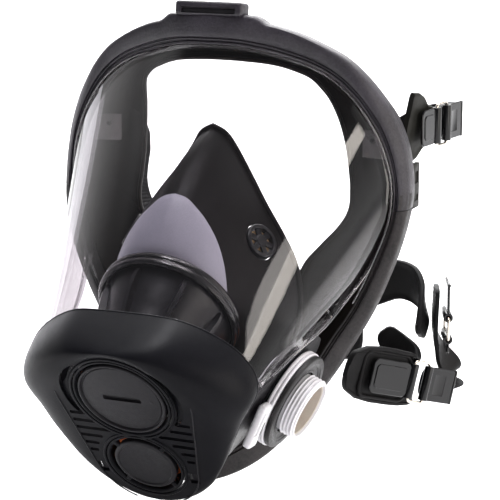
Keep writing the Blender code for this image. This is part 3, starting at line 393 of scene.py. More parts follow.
def clear(name, tint, ior=1.5, rough=0.02, haze=0.0, deep=None):
    """Thin clear plastic: mostly see-through, with the gloss that Fresnel gives."""
    m = bpy.data.materials.new(name)
    m.use_nodes = True
    t = m.node_tree
    t.nodes.remove(t.nodes["Principled BSDF"])
    out = t.nodes["Material Output"]
    tr = t.nodes.new("ShaderNodeBsdfTransparent")
    gl = t.nodes.new("ShaderNodeBsdfGlossy")
    mix = t.nodes.new("ShaderNodeMixShader")
    fr = t.nodes.new("ShaderNodeFresnel")
    geo = t.nodes.new("ShaderNodeNewGeometry")
    both = t.nodes.new("ShaderNodeMath")
    both.operation = 'MULTIPLY_ADD'
    both.inputs[1].default_value = 1.0 / ior - ior
    both.inputs[2].default_value = ior
    t.links.new(geo.outputs["Backfacing"], both.inputs[0])
    t.links.new(both.outputs[0], fr.inputs["IOR"])
    gl.inputs["Roughness"].default_value = rough
    co = t.nodes.new("ShaderNodeTexCoord")
    n = t.nodes.new("ShaderNodeTexNoise")
    n.inputs["Scale"].default_value = 22.0
    n.inputs["Detail"].default_value = 3.0
    t.links.new(co.outputs["Object"], n.inputs["Vector"])
    ramp = t.nodes.new("ShaderNodeValToRGB")
    ramp.color_ramp.elements[0].position = 0.3
    ramp.color_ramp.elements[1].position = 0.7
    ramp.color_ramp.elements[0].color = (*[c * 0.985 for c in tint], 1)
    ramp.color_ramp.elements[1].color = (*tint, 1)
    t.links.new(n.outputs["Fac"], ramp.inputs["Fac"])
    if deep:
        # a slanting look passes through more plastic
        lw = t.nodes.new("ShaderNodeLayerWeight")
        side = t.nodes.new("ShaderNodeValToRGB")
        side.color_ramp.elements[0].position = 0.30
        side.color_ramp.elements[1].position = 0.92
        side.color_ramp.elements[0].color = (1, 1, 1, 1)
        side.color_ramp.elements[1].color = (*deep, 1)
        mul = t.nodes.new("ShaderNodeMix")
        mul.data_type = 'RGBA'
        mul.blend_type = 'MULTIPLY'
        mul.inputs[0].default_value = 1.0
        t.links.new(lw.outputs["Facing"], side.inputs["Fac"])
        t.links.new(ramp.outputs["Color"], mul.inputs[6])
        t.links.new(side.outputs["Color"], mul.inputs[7])
        t.links.new(mul.outputs[2], tr.inputs["Color"])
    else:
        t.links.new(ramp.outputs["Color"], tr.inputs["Color"])
    t.links.new(fr.outputs["Fac"], mix.inputs["Fac"])
    t.links.new(tr.outputs[0], mix.inputs[1])
    t.links.new(gl.outputs[0], mix.inputs[2])
    last = mix
    if haze:
        df = t.nodes.new("ShaderNodeBsdfDiffuse")
        df.inputs["Color"].default_value = (0.62, 0.60, 0.60, 1)
        last = t.nodes.new("ShaderNodeMixShader")
        last.inputs["Fac"].default_value = haze
        t.links.new(mix.outputs[0], last.inputs[1])
        t.links.new(df.outputs[0], last.inputs[2])
    t.links.new(last.outputs[0], out.inputs["Surface"])
    return m


M = {
    "frame": surface("frame_plastic", (0.009, 0.0078, 0.0104), (0.038, 0.033, 0.043), (0.34, 0.48), 900, 1.0, 40, spec=0.36),
    "frame_low": surface("lower_frame_plastic", (0.006, 0.0054, 0.0058), (0.032, 0.028, 0.029), (0.42, 0.60), 800, 1.0, 90, spec=0.24),
    "cover": surface("cover_plastic", (0.004, 0.004, 0.005), (0.008, 0.008, 0.010), (0.30, 0.38), 2200, 0.22, 30, spec=0.06),
    "cap": surface("cap_plastic", (0.009, 0.0086, 0.0100), (0.016, 0.0152, 0.0178), (0.40, 0.54), 2000, 0.4, 60, spec=0.14),
    "inner": surface("inner_plastic", (0.006, 0.006, 0.007), (0.015, 0.0145, 0.017), (0.30, 0.42), 2600, 0.12, 50, spec=0.32),
    "rubber": surface("seal_rubber", (0.0105, 0.0084, 0.0067), (0.0122, 0.0098, 0.0078), (0.400, 0.410), 2600, 0.003, 24, spec=0.15),
    "strap": surface("strap_rubber", (0.0045, 0.0045, 0.0048), (0.012, 0.0115, 0.012), (0.36, 0.52), 2200, 0.3, 50, sheen=0.0, spec=0.07),
    "cup": surface("cup_silicone", (0.006, 0.0052, 0.0054), (0.011, 0.0098, 0.0100), (0.36, 0.48), 2400, 0.14, 24, sheen=0.0, spec=0.09),
    # light lavender on the cup's front dome is a painted sheen: the lit front of the same dark silicone as the cup
    "sheen_dome": surface("painted_sheen_silicone", (0.25, 0.245, 0.295), (0.34, 0.33, 0.395), (0.44, 0.58), 1500, 0.25, 24),
    "white": surface("white_plastic", (0.60, 0.585, 0.61), (0.70, 0.69, 0.72), (0.30, 0.42), 2600, 0.1, 45),
    "beige": surface("port_inside", (0.42, 0.38, 0.33), (0.55, 0.50, 0.44), (0.4, 0.5), 2000, 0.1, 45),
    "orange": surface("orange_silicone", (0.62, 0.13, 0.03), (0.78, 0.20, 0.06), (0.35, 0.5), 2200, 0.15, 90),
    "tan": surface("tan_plastic", (0.50, 0.33, 0.17), (0.64, 0.44, 0.25), (0.35, 0.5), 2200, 0.12, 90),
    "olive": surface("olive_rubber", (0.010, 0.010, 0.0088), (0.022, 0.0215, 0.0188), (0.36, 0.5), 2000, 0.22, 40, sheen=0.0, spec=0.07),
    "steel": surface("nickel_wire", (0.55, 0.50, 0.44), (0.72, 0.67, 0.60), (0.14, 0.26), 4000, 0.06, 300, metal=1.0),
    "gloss": surface("gloss_rubber", (0.006, 0.006, 0.0065), (0.012, 0.0118, 0.0128), (0.16, 0.24), 1800, 0.06, 60, spec=0.45),
    "enamel": surface("black_enamel", (0.003, 0.003, 0.0034), (0.007, 0.007, 0.0078), (0.12, 0.20), 3000, 0.06, 120, metal=0.0, coat=0.12, coat_rough=0.06, spec=0.22),
    "film": surface("diaphragm_film", (0.40, 0.40, 0.37), (0.55, 0.54, 0.50), (0.2, 0.3), 2000, 0.05, 60),
    "gasket": surface("gasket_rubber", (0.008, 0.0078, 0.0082), (0.020, 0.0190, 0.0200), (0.38, 0.52), 2300, 0.22, 70, spec=0.26),
    "lens": clear("clear_lens", (0.945, 0.935, 0.945), 1.45, 0.012, deep=(0.60, 0.575, 0.59)),
    "edge": clear("lens_edge", (0.62, 0.60, 0.62), 2.1, 0.06),
    "tab": clear("clear_tab", (0.86, 0.84, 0.85), 1.6, 0.1, haze=0.16),
}


# ------------------------------------------------------------------ meshes
def link(ob):
    for c in list(ob.users_collection):
        c.objects.unlink(ob)
    LOOKS.objects.link(ob)
    return ob


def shade(ob, angle=35):
    ob.data.shade_smooth()
    ob.data.set_sharp_from_angle(angle=math.radians(angle))
    return ob


def grid(name, rows, close_rows=False, close_cols=True, cap_ends=False, flip_ok=True):
    bm = bmesh.new()
    vs = [[bm.verts.new(p * MM) for p in r] for r in rows]
    nr, nc = len(vs), len(vs[0])
    for i in range(nr if close_rows else nr - 1):
        for j in range(nc if close_cols else nc - 1):
            bm.faces.new((vs[i][j], vs[i][(j + 1) % nc], vs[(i + 1) % nr][(j + 1) % nc], vs[(i + 1) % nr][j]))
    if cap_ends:
        bm.faces.new(list(reversed(vs[0])))
        bm.faces.new(vs[-1])
    bmesh.ops.remove_doubles(bm, verts=bm.verts, dist=0.000004)
    bmesh.ops.recalc_face_normals(bm, faces=bm.faces)
    if flip_ok and bm.calc_volume(signed=True) < 0:
        bmesh.ops.reverse_faces(bm, faces=bm.faces)
    me = bpy.data.meshes.new(name)
    bm.to_mesh(me)
    bm.free()
    ob = bpy.data.objects.new(name, me)
    LOOKS.objects.link(ob)
    return ob


def apply_all(ob):
    bpy.context.view_layer.update()
    dg = bpy.context.evaluated_depsgraph_get()
    me = bpy.data.meshes.new_from_object(ob.evaluated_get(dg))
    mats = list(ob.data.materials) if ob.type == 'MESH' else []
    if ob.type != 'MESH':
        new = bpy.data.objects.new(ob.name + "_m", me)
        new.matrix_world = ob.matrix_world.copy()
        nm = ob.name
        bpy.data.objects.remove(ob, do_unlink=True)
        new.name = nm
        LOOKS.objects.link(new)
        return new
    ob.modifiers.clear()
    ob.data = me
    return ob


def shell(name, rows, thick, centre, rim_slot=0):
    ob = grid(name, rows, close_cols=False, flip_ok=False)
    c = V(centre) * MM
    s = sum((p.center - c).dot(p.normal) * p.area for p in ob.data.polygons)
    if s < 0:
        ob.data.flip_normals()
    if rim_slot:
        ob.data.materials.append(M["lens"])
        ob.data.materials.append(M["edge"])
    m = ob.modifiers.new("wall", 'SOLIDIFY')
    m.thickness = thick * MM
    m.offset = -1.0
    m.material_offset_rim = rim_slot
    return apply_all(ob)


def bevel(ob, width, segs=2, angle=30):
    m = ob.modifiers.new("round", 'BEVEL')
    m.width = width * MM
    m.segments = segs
    m.limit_method = 'ANGLE'
    m.angle_limit = math.radians(angle)
    m.harden_normals = False
    return apply_all(ob)


def turned(name, prof, centre, axis, steps=96, arc=None):
    """Closed outline (radius, height) turned about the axis; arc = (from, to) degrees for a part turn."""
    mt = axes(axis).to_3x3()
    rows = []
    cnt = steps if arc is None else steps + 1
    for k in range(cnt):
        a = 2 * math.pi * k / steps if arc is None else math.radians(arc[0] + (arc[1] - arc[0]) * k / steps)
        ca, sa = math.cos(a), math.sin(a)
        rows.append([V(centre) + mt @ Vector((r * ca, r * sa, h)) for r, h in prof])
    return shade(grid(name, rows, close_rows=arc is None, cap_ends=arc is not None))


def rounded(prof, r=0.25, n=3):
    """Round the corners of a closed outline."""
    out = []
    m = len(prof)
    for i in range(m):
        p, a, b = Vector(prof[i]), Vector(prof[i - 1]), Vector(prof[(i + 1) % m])
        if p.x < 1e-6:
            out.append((p.x, p.y))
            continue
        la, lb = (a - p).length, (b - p).length
        q = min(r, la * 0.45, lb * 0.45)
        s, e = p + (a - p).normalized() * q, p + (b - p).normalized() * q
        for k in range(n + 1):
            t = k / n
            z = s * (1 - t) ** 2 + p * 2 * t * (1 - t) + e * t * t
            out.append((z.x, z.y))
    return out


def block(name, centre, size, rot=None, r=0.4, segs=3):
    bm = bmesh.new()
    bmesh.ops.create_cube(bm, size=1.0)
    bmesh.ops.scale(bm, vec=V(size) * MM, verts=bm.verts)
    if r:
        bmesh.ops.bevel(bm, geom=bm.edges, offset=r * MM, segments=segs, profile=0.5, affect='EDGES')
    bmesh.ops.transform(bm, matrix=Matrix.Translation(V(centre) * MM) @ (rot.to_4x4() if rot else Matrix()), verts=bm.verts)
    me = bpy.data.meshes.new(name)
    bm.to_mesh(me)
    bm.free()
    ob = bpy.data.objects.new(name, me)
    LOOKS.objects.link(ob)
    return shade(ob)


def rod(name, radius, p0, p1, segs=40, radius2=None):
    p0, p1 = V(p0), V(p1)
    bm = bmesh.new()
    bmesh.ops.create_cone(bm, cap_ends=True, segments=segs, radius1=radius * MM,
                          radius2=(radius if radius2 is None else radius2) * MM, depth=(p1 - p0).length * MM)
    bmesh.ops.transform(bm, matrix=Matrix.Translation((p0 + p1) * 0.5 * MM) @ axes(p1 - p0), verts=bm.verts)
    me = bpy.data.meshes.new(name)
    bm.to_mesh(me)
    bm.free()
    ob = bpy.data.objects.new(name, me)
    LOOKS.objects.link(ob)
    return ob


def boolean(ob, other, op='DIFFERENCE'):
    bm = bmesh.new()
    bm.from_mesh(ob.data)
    bmesh.ops.triangulate(bm, faces=[f for f in bm.faces if len(f.verts) > 3])
    bmesh.ops.remove_doubles(bm, verts=bm.verts, dist=0.000001)
    bm.to_mesh(ob.data)
    bm.free()
    m = ob.modifiers.new("cut", 'BOOLEAN')
    m.operation = op
    m.solver = 'EXACT'
    m.object = other
    apply_all(ob)
    bpy.data.objects.remove(other, do_unlink=True)
    return ob


def put(ob, look, nodes=(), body="mask", keep=False):
    """Material, body and the CAD nodes this piece stands for."""
    if not keep:
        ob.data.materials.clear()
        ob.data.materials.append(M[look])
        for p in ob.data.polygons:
            p.material_index = 0
    if nodes:
        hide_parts(*nodes)
    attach(ob, body)
    return ob


def tube(name, pts, radius, cyclic=False, res=3):
    cu = bpy.data.curves.new(name, 'CURVE')
    cu.dimensions = '3D'
    cu.bevel_depth = radius * MM
    cu.bevel_resolution = res
    sp = cu.splines.new('POLY')
    sp.points.add(len(pts) - 1)
    for q, p in zip(sp.points, pts):
        q.co = (*(p * MM), 1)
    sp.use_cyclic_u = cyclic
    cu.use_fill_caps = not cyclic
    ob = bpy.data.objects.new(name, cu)
    LOOKS.objects.link(ob)
    ob = apply_all(ob)
    return shade(ob, 50)


def ease(a, b, x):
    t = max(0.0, min(1.0, (x - a) / (b - a)))
    return t * t * (3 - 2 * t)


# ------------------------------------------------------------------ clamp frames
JOINT_U = 11.45
FD = FRAME_DEPTH
SECTION = ((0.0, FD), (0.0, 1.4), (0.02, 0.7), (0.05, 0.35), (0.09, 0.35), (0.115, 0.75), (0.125, 1.15), (0.15, 1.15),
           (0.16, 0.5), (0.18, -0.05), (0.215, -0.2), (0.24, 0.0), (0.25, 0.45), (0.275, 0.45), (0.285, -0.3),
           (0.31, -1.05), (0.38, -1.42), (0.50, -1.6), (0.66, -1.6), (0.80, -1.5), (0.90, -1.2), (0.955, -0.7),
           (0.99, 0.3), (1.0, 1.4), (0.995, 2.5), (0.975, 2.6), (0.97, 2.9), (0.985, 3.0), (0.97, FD - 3.2),
           (0.94, FD - 1.6), (0.88, FD - 0.4), (0.80, FD), (0.4, FD))


def frame_row(u, grow=1.0):
    o, i = by_station(OUTER, u), by_station(INNER, u)
    w = o - i
    lift = ease(28.0, 20.5, abs(o.x)) * 3.0 if u < 4 else 0.0
    row = []
    for a, b in SECTION:
        p = i + w * a + Vector((0, b if b > 0 else b * grow, 0))
        p.z += lift * ease(0.35, 0.92, a)
        row.append(p)
    return row


def make_frames():
    n = 150
    half = [frame_row(JOINT_U * k / n) for k in range(n + 1)]
    rows = [[mirror(p) for p in r] for r in reversed(half[1:])] + half
    put(shade(grid("upper_frame_shell", rows, cap_ends=True), 28), "frame", ["upper_lens_frame"])
    u0 = JOINT_U + 0.03
    n = 120
    half = [frame_row(u0 + (21 - u0) * k / n, 0.8) for k in range(n + 1)]
    rows = half + [[mirror(p) for p in r] for r in reversed(half[:-1])]
    put(shade(grid("lower_frame_shell", rows, cap_ends=True), 28), "frame_low", ["lower_lens_frame"])
    # overlap plate at each joint, and the two clips beside them
    for s, side in ((1, "left"), (-1, "right")):
        f = (lambda p: p) if s > 0 else mirror
        pl = []
        for k in range(11):
            u = JOINT_U - 0.62 + 0.60 * k / 10
            o, i = by_station(OUTER, u), by_station(INNER, u)
            w = o - i
            pl.append([f(i + w * a + Vector((0, b, 0))) for a, b in
                       ((0.42, -1.2), (0.44, -1.85), (0.88, -1.3), (1.0, 0.2), (1.012, 2.2), (0.98, 2.2), (0.9, -0.2))])
        put(shade(grid("frame_joint_plate_" + side, pl, cap_ends=True), 28), "frame_low")
        cl = block("clip_" + side, (85.6 * s, -5.2, 39.0), (2.4, 9.0, 21.0), r=0.5)
        boolean(cl, block("c", (86.8 * s, -5.2, 43.0), (1.2, 4.6, 5.5), r=0.2))
        boolean(cl, block("c", (86.8 * s, -5.2, 33.5), (1.0, 5.4, 3.0), r=0.2))
        put(shade(cl, 30), "olive", ["frame_clip_" + side])
    # bar on the crown
    rot = Matrix.Rotation(math.radians(-8), 3, 'X')
    bar = block("crown_bar", (0, -42.6, 120.7), (33.5, 9.5, 6.6), rot, r=1.5, segs=3)
    boolean(bar, block("c", V((0, -47.0, 120.6)), (27.0, 2.4, 3.0), rot, r=0.5))
    put(shade(bar, 30), "frame", ["top_clip_bar"])
    put(shade(block("crown_bar_step", (0, -46.15, 120.0), (26.2, 1.0, 2.2), rot, r=0.3), 30), "cap")


# ------------------------------------------------------------------ lens
def make_lens():
    half = lens_rows(101, 22)
    rows = [[mirror(p) for p in r] for r in reversed(half[1:])] + half
    ob = shell("visor", rows, LENS_THICK, (0, -20, 20), rim_slot=1)
    shade(ob, 40)
    put(ob, "lens", ["lens"], keep=True)
    # moulded clear tabs inside, with their peg
    for s, side in ((1, "left"), (-1, "right")):
        rot = Matrix.Rotation(math.radians(-16 * s), 3, 'Z')
        tab = block("visor_tab_" + side, (69.5 * s, -14.5, 58.5), (13.5, 1.3, 13.0), rot, r=0.5)
        put(tab, "tab")
        c = V((68.5 * s, -15.6, 60.5))
        put(turned("visor_tab_peg_" + side, rounded([(0, 0.9), (0.9, 0.9), (1.1, 0.2), (1.1, -0.6), (0, -0.6)], 0.2), c, Vector((0, -1, 0)), 24),
            "inner")
    # clear bead where the window meets the frame
    for s, side in ((1, "left"), (-1, "right")):
        pts = []
        for k in range(90):
            u = 3.2 + (14.6 - 3.2) * k / 89
            o, i = by_station(OUTER, u), by_station(INNER, u)
            p = i + (i - o).normalized() * 0.7 + Vector((0, -0.3, 0))
            pts.append(p if s > 0 else mirror(p))
        put(tube("visor_rim_" + side, pts, 0.45), "edge")
    # raised clear lip along the lower edge of the window, from the frame to the cover
    for s, side in ((1, "left"), (-1, "right")):
        f = (lambda p: p) if s > 0 else mirror
        pts = [f(r[1] + Vector((0.25, 0.0, 0.2))) for r in half[62:97]]
        put(tube("visor_lip_" + side, pts, 0.62), "edge")


# ------------------------------------------------------------------ rubber facepiece
def make_skirt():
    n = 90
    half = []
    for k in range(n + 1):
        r = skirt_section(21.0 * k / n)
        half.append(r)
    for r in (half[0], half[-1]):
        for p in r:
            p.x = 0.0
    rows = half + [[mirror(p) for p in r] for r in reversed(half[1:-1])]
    # round each section
    fine = []
    for r in rows:
        m = len(r)
        q = []
        for j in range(m):
            a, b, c, d = r[j - 1], r[j], r[(j + 1) % m], r[(j + 2) % m]
            for t in (0.0, 0.5):
                tt = t
                cat = 0.5 * ((2 * b) + (c - a) * tt + (2 * a - 5 * b + 4 * c - d) * tt * tt + (3 * b - a - 3 * c + d) * tt ** 3)
                q.append(cat.lerp(b.lerp(c, tt), 0.45))
        fine.append(q)
    put(shade(grid("seal_rubber_body", fine, close_rows=True), 60), "rubber", ["facepiece_skirt"])
    # inner lip bead round the face opening
    pts = []
    for k in range(161):
        u = 21.0 * k / 160
        r = skirt_section(u)
        pts.append(r[4].lerp(r[5], 0.5))
    pts = [p for p in pts]
    pts[0].x = 0
    pts[-1].x = 0
    ring = pts + [mirror(p) for p in reversed(pts[1:-1])]
    put(tube("seal_lip_bead", ring, 1.0, cyclic=True), "rubber")


# ------------------------------------------------------------------ chin cover
def spline_rows(rows, k):
    """Catmull-Rom between corresponding points of successive rows, k steps each."""
    out = []
    n = len(rows)
    for i in range(n - 1):
        a, b, c, d = rows[max(i - 1, 0)], rows[i], rows[i + 1], rows[min(i + 2, n - 1)]
        for t in range(k):
            x = t / k
            out.append([0.5 * ((2 * q) + (r - p) * x + (2 * p - 5 * q + 4 * r - s) * x * x + (3 * q - p - 3 * r + s) * x ** 3)
                        for p, q, r, s in zip(a, b, c, d)])
    out.append(list(rows[-1]))
    return out


def make_cover():
    rows = cover_rows(61)
    rim = rows[0]

    def keyhole(k, inset, out):
        a = math.tau * k / len(rim)
        q = max(((math.sin(a) * r, math.cos(a) * r + c) for c, r in ((0.0, 31.0 - inset), (-VENT_DROP, 23.5 - inset))),
                key=lambda q: q[0] * math.sin(a) + q[1] * math.cos(a))
        return on_face(q[0], q[1], out)
    # the face swells into a brow round the top of the cap
    brow = [ease(-0.15, 0.5, math.cos(math.tau * k / len(rim))) for k in range(len(rim))]
    flat = [keyhole(k, 2.6 * w, 1.5 * w) for k, w in enumerate(brow)]
    corner = [r + FACE_N * (f - r).dot(FACE_N) for r, f in zip(rim, flat)]
    rows = []
    for j in range(15):
        a = math.pi / 2 * j / 14
        c, q = math.cos(a) ** 0.86, math.sin(a) ** 0.86
        rows.append([k + (f - k) * (1 - c) + (r - k) * (1 - q) for r, f, k in zip(rim, flat, corner)])
    for t in (0.2, 0.4, 0.6, 0.8, 1.0):
        rows.append([keyhole(k, 2.6 * w + 6.4 * t * (1 - 0.4 * w), 1.5 * w * math.cos(math.pi / 2 * t)) for k, w in enumerate(brow)])

    bm = bmesh.new()
    vs = [[bm.verts.new(p * MM) for p in r] for r in rows]
    n = len(rows[0])
    for i in range(len(rows) - 1):
        for j in range(n):
            bm.faces.new((vs[i][j], vs[i][(j + 1) % n], vs[i + 1][(j + 1) % n], vs[i + 1][j]))
    bm.faces.new(vs[-1])
    bmesh.ops.recalc_face_normals(bm, faces=bm.faces)
    me = bpy.data.meshes.new("cover_shell")
    bm.to_mesh(me)
    bm.free()
    ob = bpy.data.objects.new("cover_shell", me)
    LOOKS.objects.link(ob)
    c = V((0, -95, -40)) * MM
    if sum((p.center - c).dot(p.normal) * p.area for p in me.polygons) < 0:
        me.flip_normals()
    m = ob.modifiers.new("wall", 'SOLIDIFY')
    m.thickness = COVER_THICK * MM
    m.offset = -1.0
    apply_all(ob)
    bm = bmesh.new()
    bm.from_mesh(ob.data)
    bmesh.ops.triangulate(bm, faces=[f for f in bm.faces if len(f.verts) > 4])
    bm.to_mesh(ob.data)
    bm.free()
    boolean(ob, rod("c1", CAP_HOLE_R, on_face(0, 0, 8), on_face(0, 0, -12), 96))
    boolean(ob, rod("c2", VENT_R, on_face(0, -VENT_DROP, 8), on_face(0, -VENT_DROP, -12), 80))
    for row, (x0, x1) in enumerate(SLOTS):
        up = SLOT_FIRST - row * SLOT_PITCH
        for s in (1, -1):
            boolean(ob, block("slot", on_face(s * (x0 + x1 - 1.3) / 2, up), (x1 - x0 - 1.3, SLOT_H, 16), FACE_ROT, r=0.5, segs=2))
    for s in (1, -1):
        loops = [[], [], [], []]
        for k in range(33):
            g = k / 32 * 2 - 1
            a = math.radians(8 + 39 * g)
            r0, r1 = 25.5, 25.6 + 3.5 * math.sqrt(max(0.0, 1 - g * g))
            for loop, r, out in zip(loops, (r0, r1, r1, r0), (2.0, 2.0, -1.5, -1.5)):
                loop.append(on_face(s * r * math.cos(a), r * math.sin(a), out))
        boolean(ob, grid("cres", [list(q) for q in zip(*loops)], cap_ends=True))
        boolean(ob, block("tongue_hole", on_face(22.6 * s, -47.5, -1), (4.6, 6.4, 6), FACE_ROT, r=0.4))
    put(shade(ob, 32), "cover", ["chin_cover"])
    # panel seam down each side of the louvres
    for s in (1, -1):
        pts = [keyhole(k, -1.9, 0.08) for k in range(30, 53)]
        put(tube("panel_seam_%s" % ("left" if s > 0 else "right"), [p if s > 0 else mirror(p) for p in pts], 0.32), "cap")
    # raised lips round the two round openings
    put(turned("cap_opening_lip", rounded([(23.5, 0.75), (24.6, 0.75), (24.9, -0.4), (23.5, -0.4)], 0.3), CAP_CENTRE, FACE_N, 120),
        "cover")
    put(turned("vent_opening_lip", rounded([(19.0, 0.7), (20.2, 0.7), (20.5, -0.4), (19.0, -0.4)], 0.3), VENT_CENTRE, FACE_N, 110),
        "cover")
    for s, side in ((1, "left"), (-1, "right")):
        put(block("snap_tongue_" + side, on_face(22.6 * s, -47.9, -2.2), (3.2, 5.0, 1.8), FACE_ROT, r=0.4), "cap")
    # rolled bead on the cover's back rim
    put(tube("cover_rim_bead", [p - (p - on_face(0, -14)).normalized() * 0.6 for p in rim], 0.75, cyclic=True), "cover")


def make_face_unit():
    # speech cap: raised rim, groove and coin slot
    prof = [(0, 0.0), (18.3, 0.0), (18.6, -0.55), (19.1, -0.55), (19.3, 0.35), (19.6, 0.8), (20.2, 0.8), (CAP_R, 0.3),
            (CAP_R, -5.5), (0, -5.5)]
    cap = turned("cap_face", rounded(prof, 0.2, 2), CAP_CENTRE, FACE_N, 128)
    boolean(cap, block("coin", on_face(0, 0, -0.3), (18.4, 2.9, 2.8), FACE_ROT, r=0.6))
    put(shade(cap, 32), "cap", ["speech_cap"], body="speech_cap")
    rim = turned("cap_slot_rim", rounded([(0.0, 0.0), (0.9, 0.0), (0.9, -0.5), (0.0, -0.5)], 0.1), on_face(14.2, 0, 0.05), FACE_N, 20)
    put(rim, "cap", body="speech_cap")
    ring = turned("cap_seat_ring", rounded([(22.9, 0.6), (22.9, -6.0), (21.2, -6.0), (21.2, -0.6), (21.6, -0.1), (22.0, 0.6)], 0.25), CAP_CENTRE,
                  FACE_N, 120)
    put(ring, "cover", ["speech_cap_ring"])
    # exhalation guard: disc, four ribs, outer ring with its step
    r = VENT_R
    g = turned("guard_ring", rounded([(r - 0.5, 0.5), (r - 0.5, -3.2), (r - 2.1, -3.2), (r - 2.1, -0.3), (r - 1.5, 0.5)], 0.25), VENT_CENTRE,
               FACE_N, 96)
    put(g, "cover", ["exhalation_guard"])
    d = turned("guard_disc", rounded([(0, 0.1), (12.6, 0.1), (12.9, 0.75), (14.0, 0.75), (VENT_DISC_R, 0.1), (VENT_DISC_R, -2.6), (0, -2.6)], 0.25, 2),
               VENT_CENTRE, FACE_N, 96)
    put(d, "cap")
    for k in range(4):
        a = math.radians(45 + 90 * k)
        c = on_face(math.cos(a) * 15.8, -VENT_DROP + math.sin(a) * 15.8, -0.6)
        put(block("guard_rib_%d" % k, c, (3.6, 2.2, 1.9), FACE_ROT @ Matrix.Rotation(a, 3, 'Z'), r=0.35), "cover")
    well = turned("vent_well", [(VENT_R - 0.6, -3.0), (VENT_R - 1.5, -3.0), (VENT_R - 1.5, -10.5), (VENT_R - 0.6, -10.5)], VENT_CENTRE, FACE_N, 72)
    put(well, "inner")
    leaf = turned("vent_leaf", rounded([(0, -7.6), (15.0, -7.6), (16.6, -8.0), (16.6, -8.5), (15.0, -8.8), (0, -8.8)], 0.2, 2), VENT_CENTRE, FACE_N, 72)
    put(leaf, "orange", ["exhalation_valve"], body="exhalation_valve")


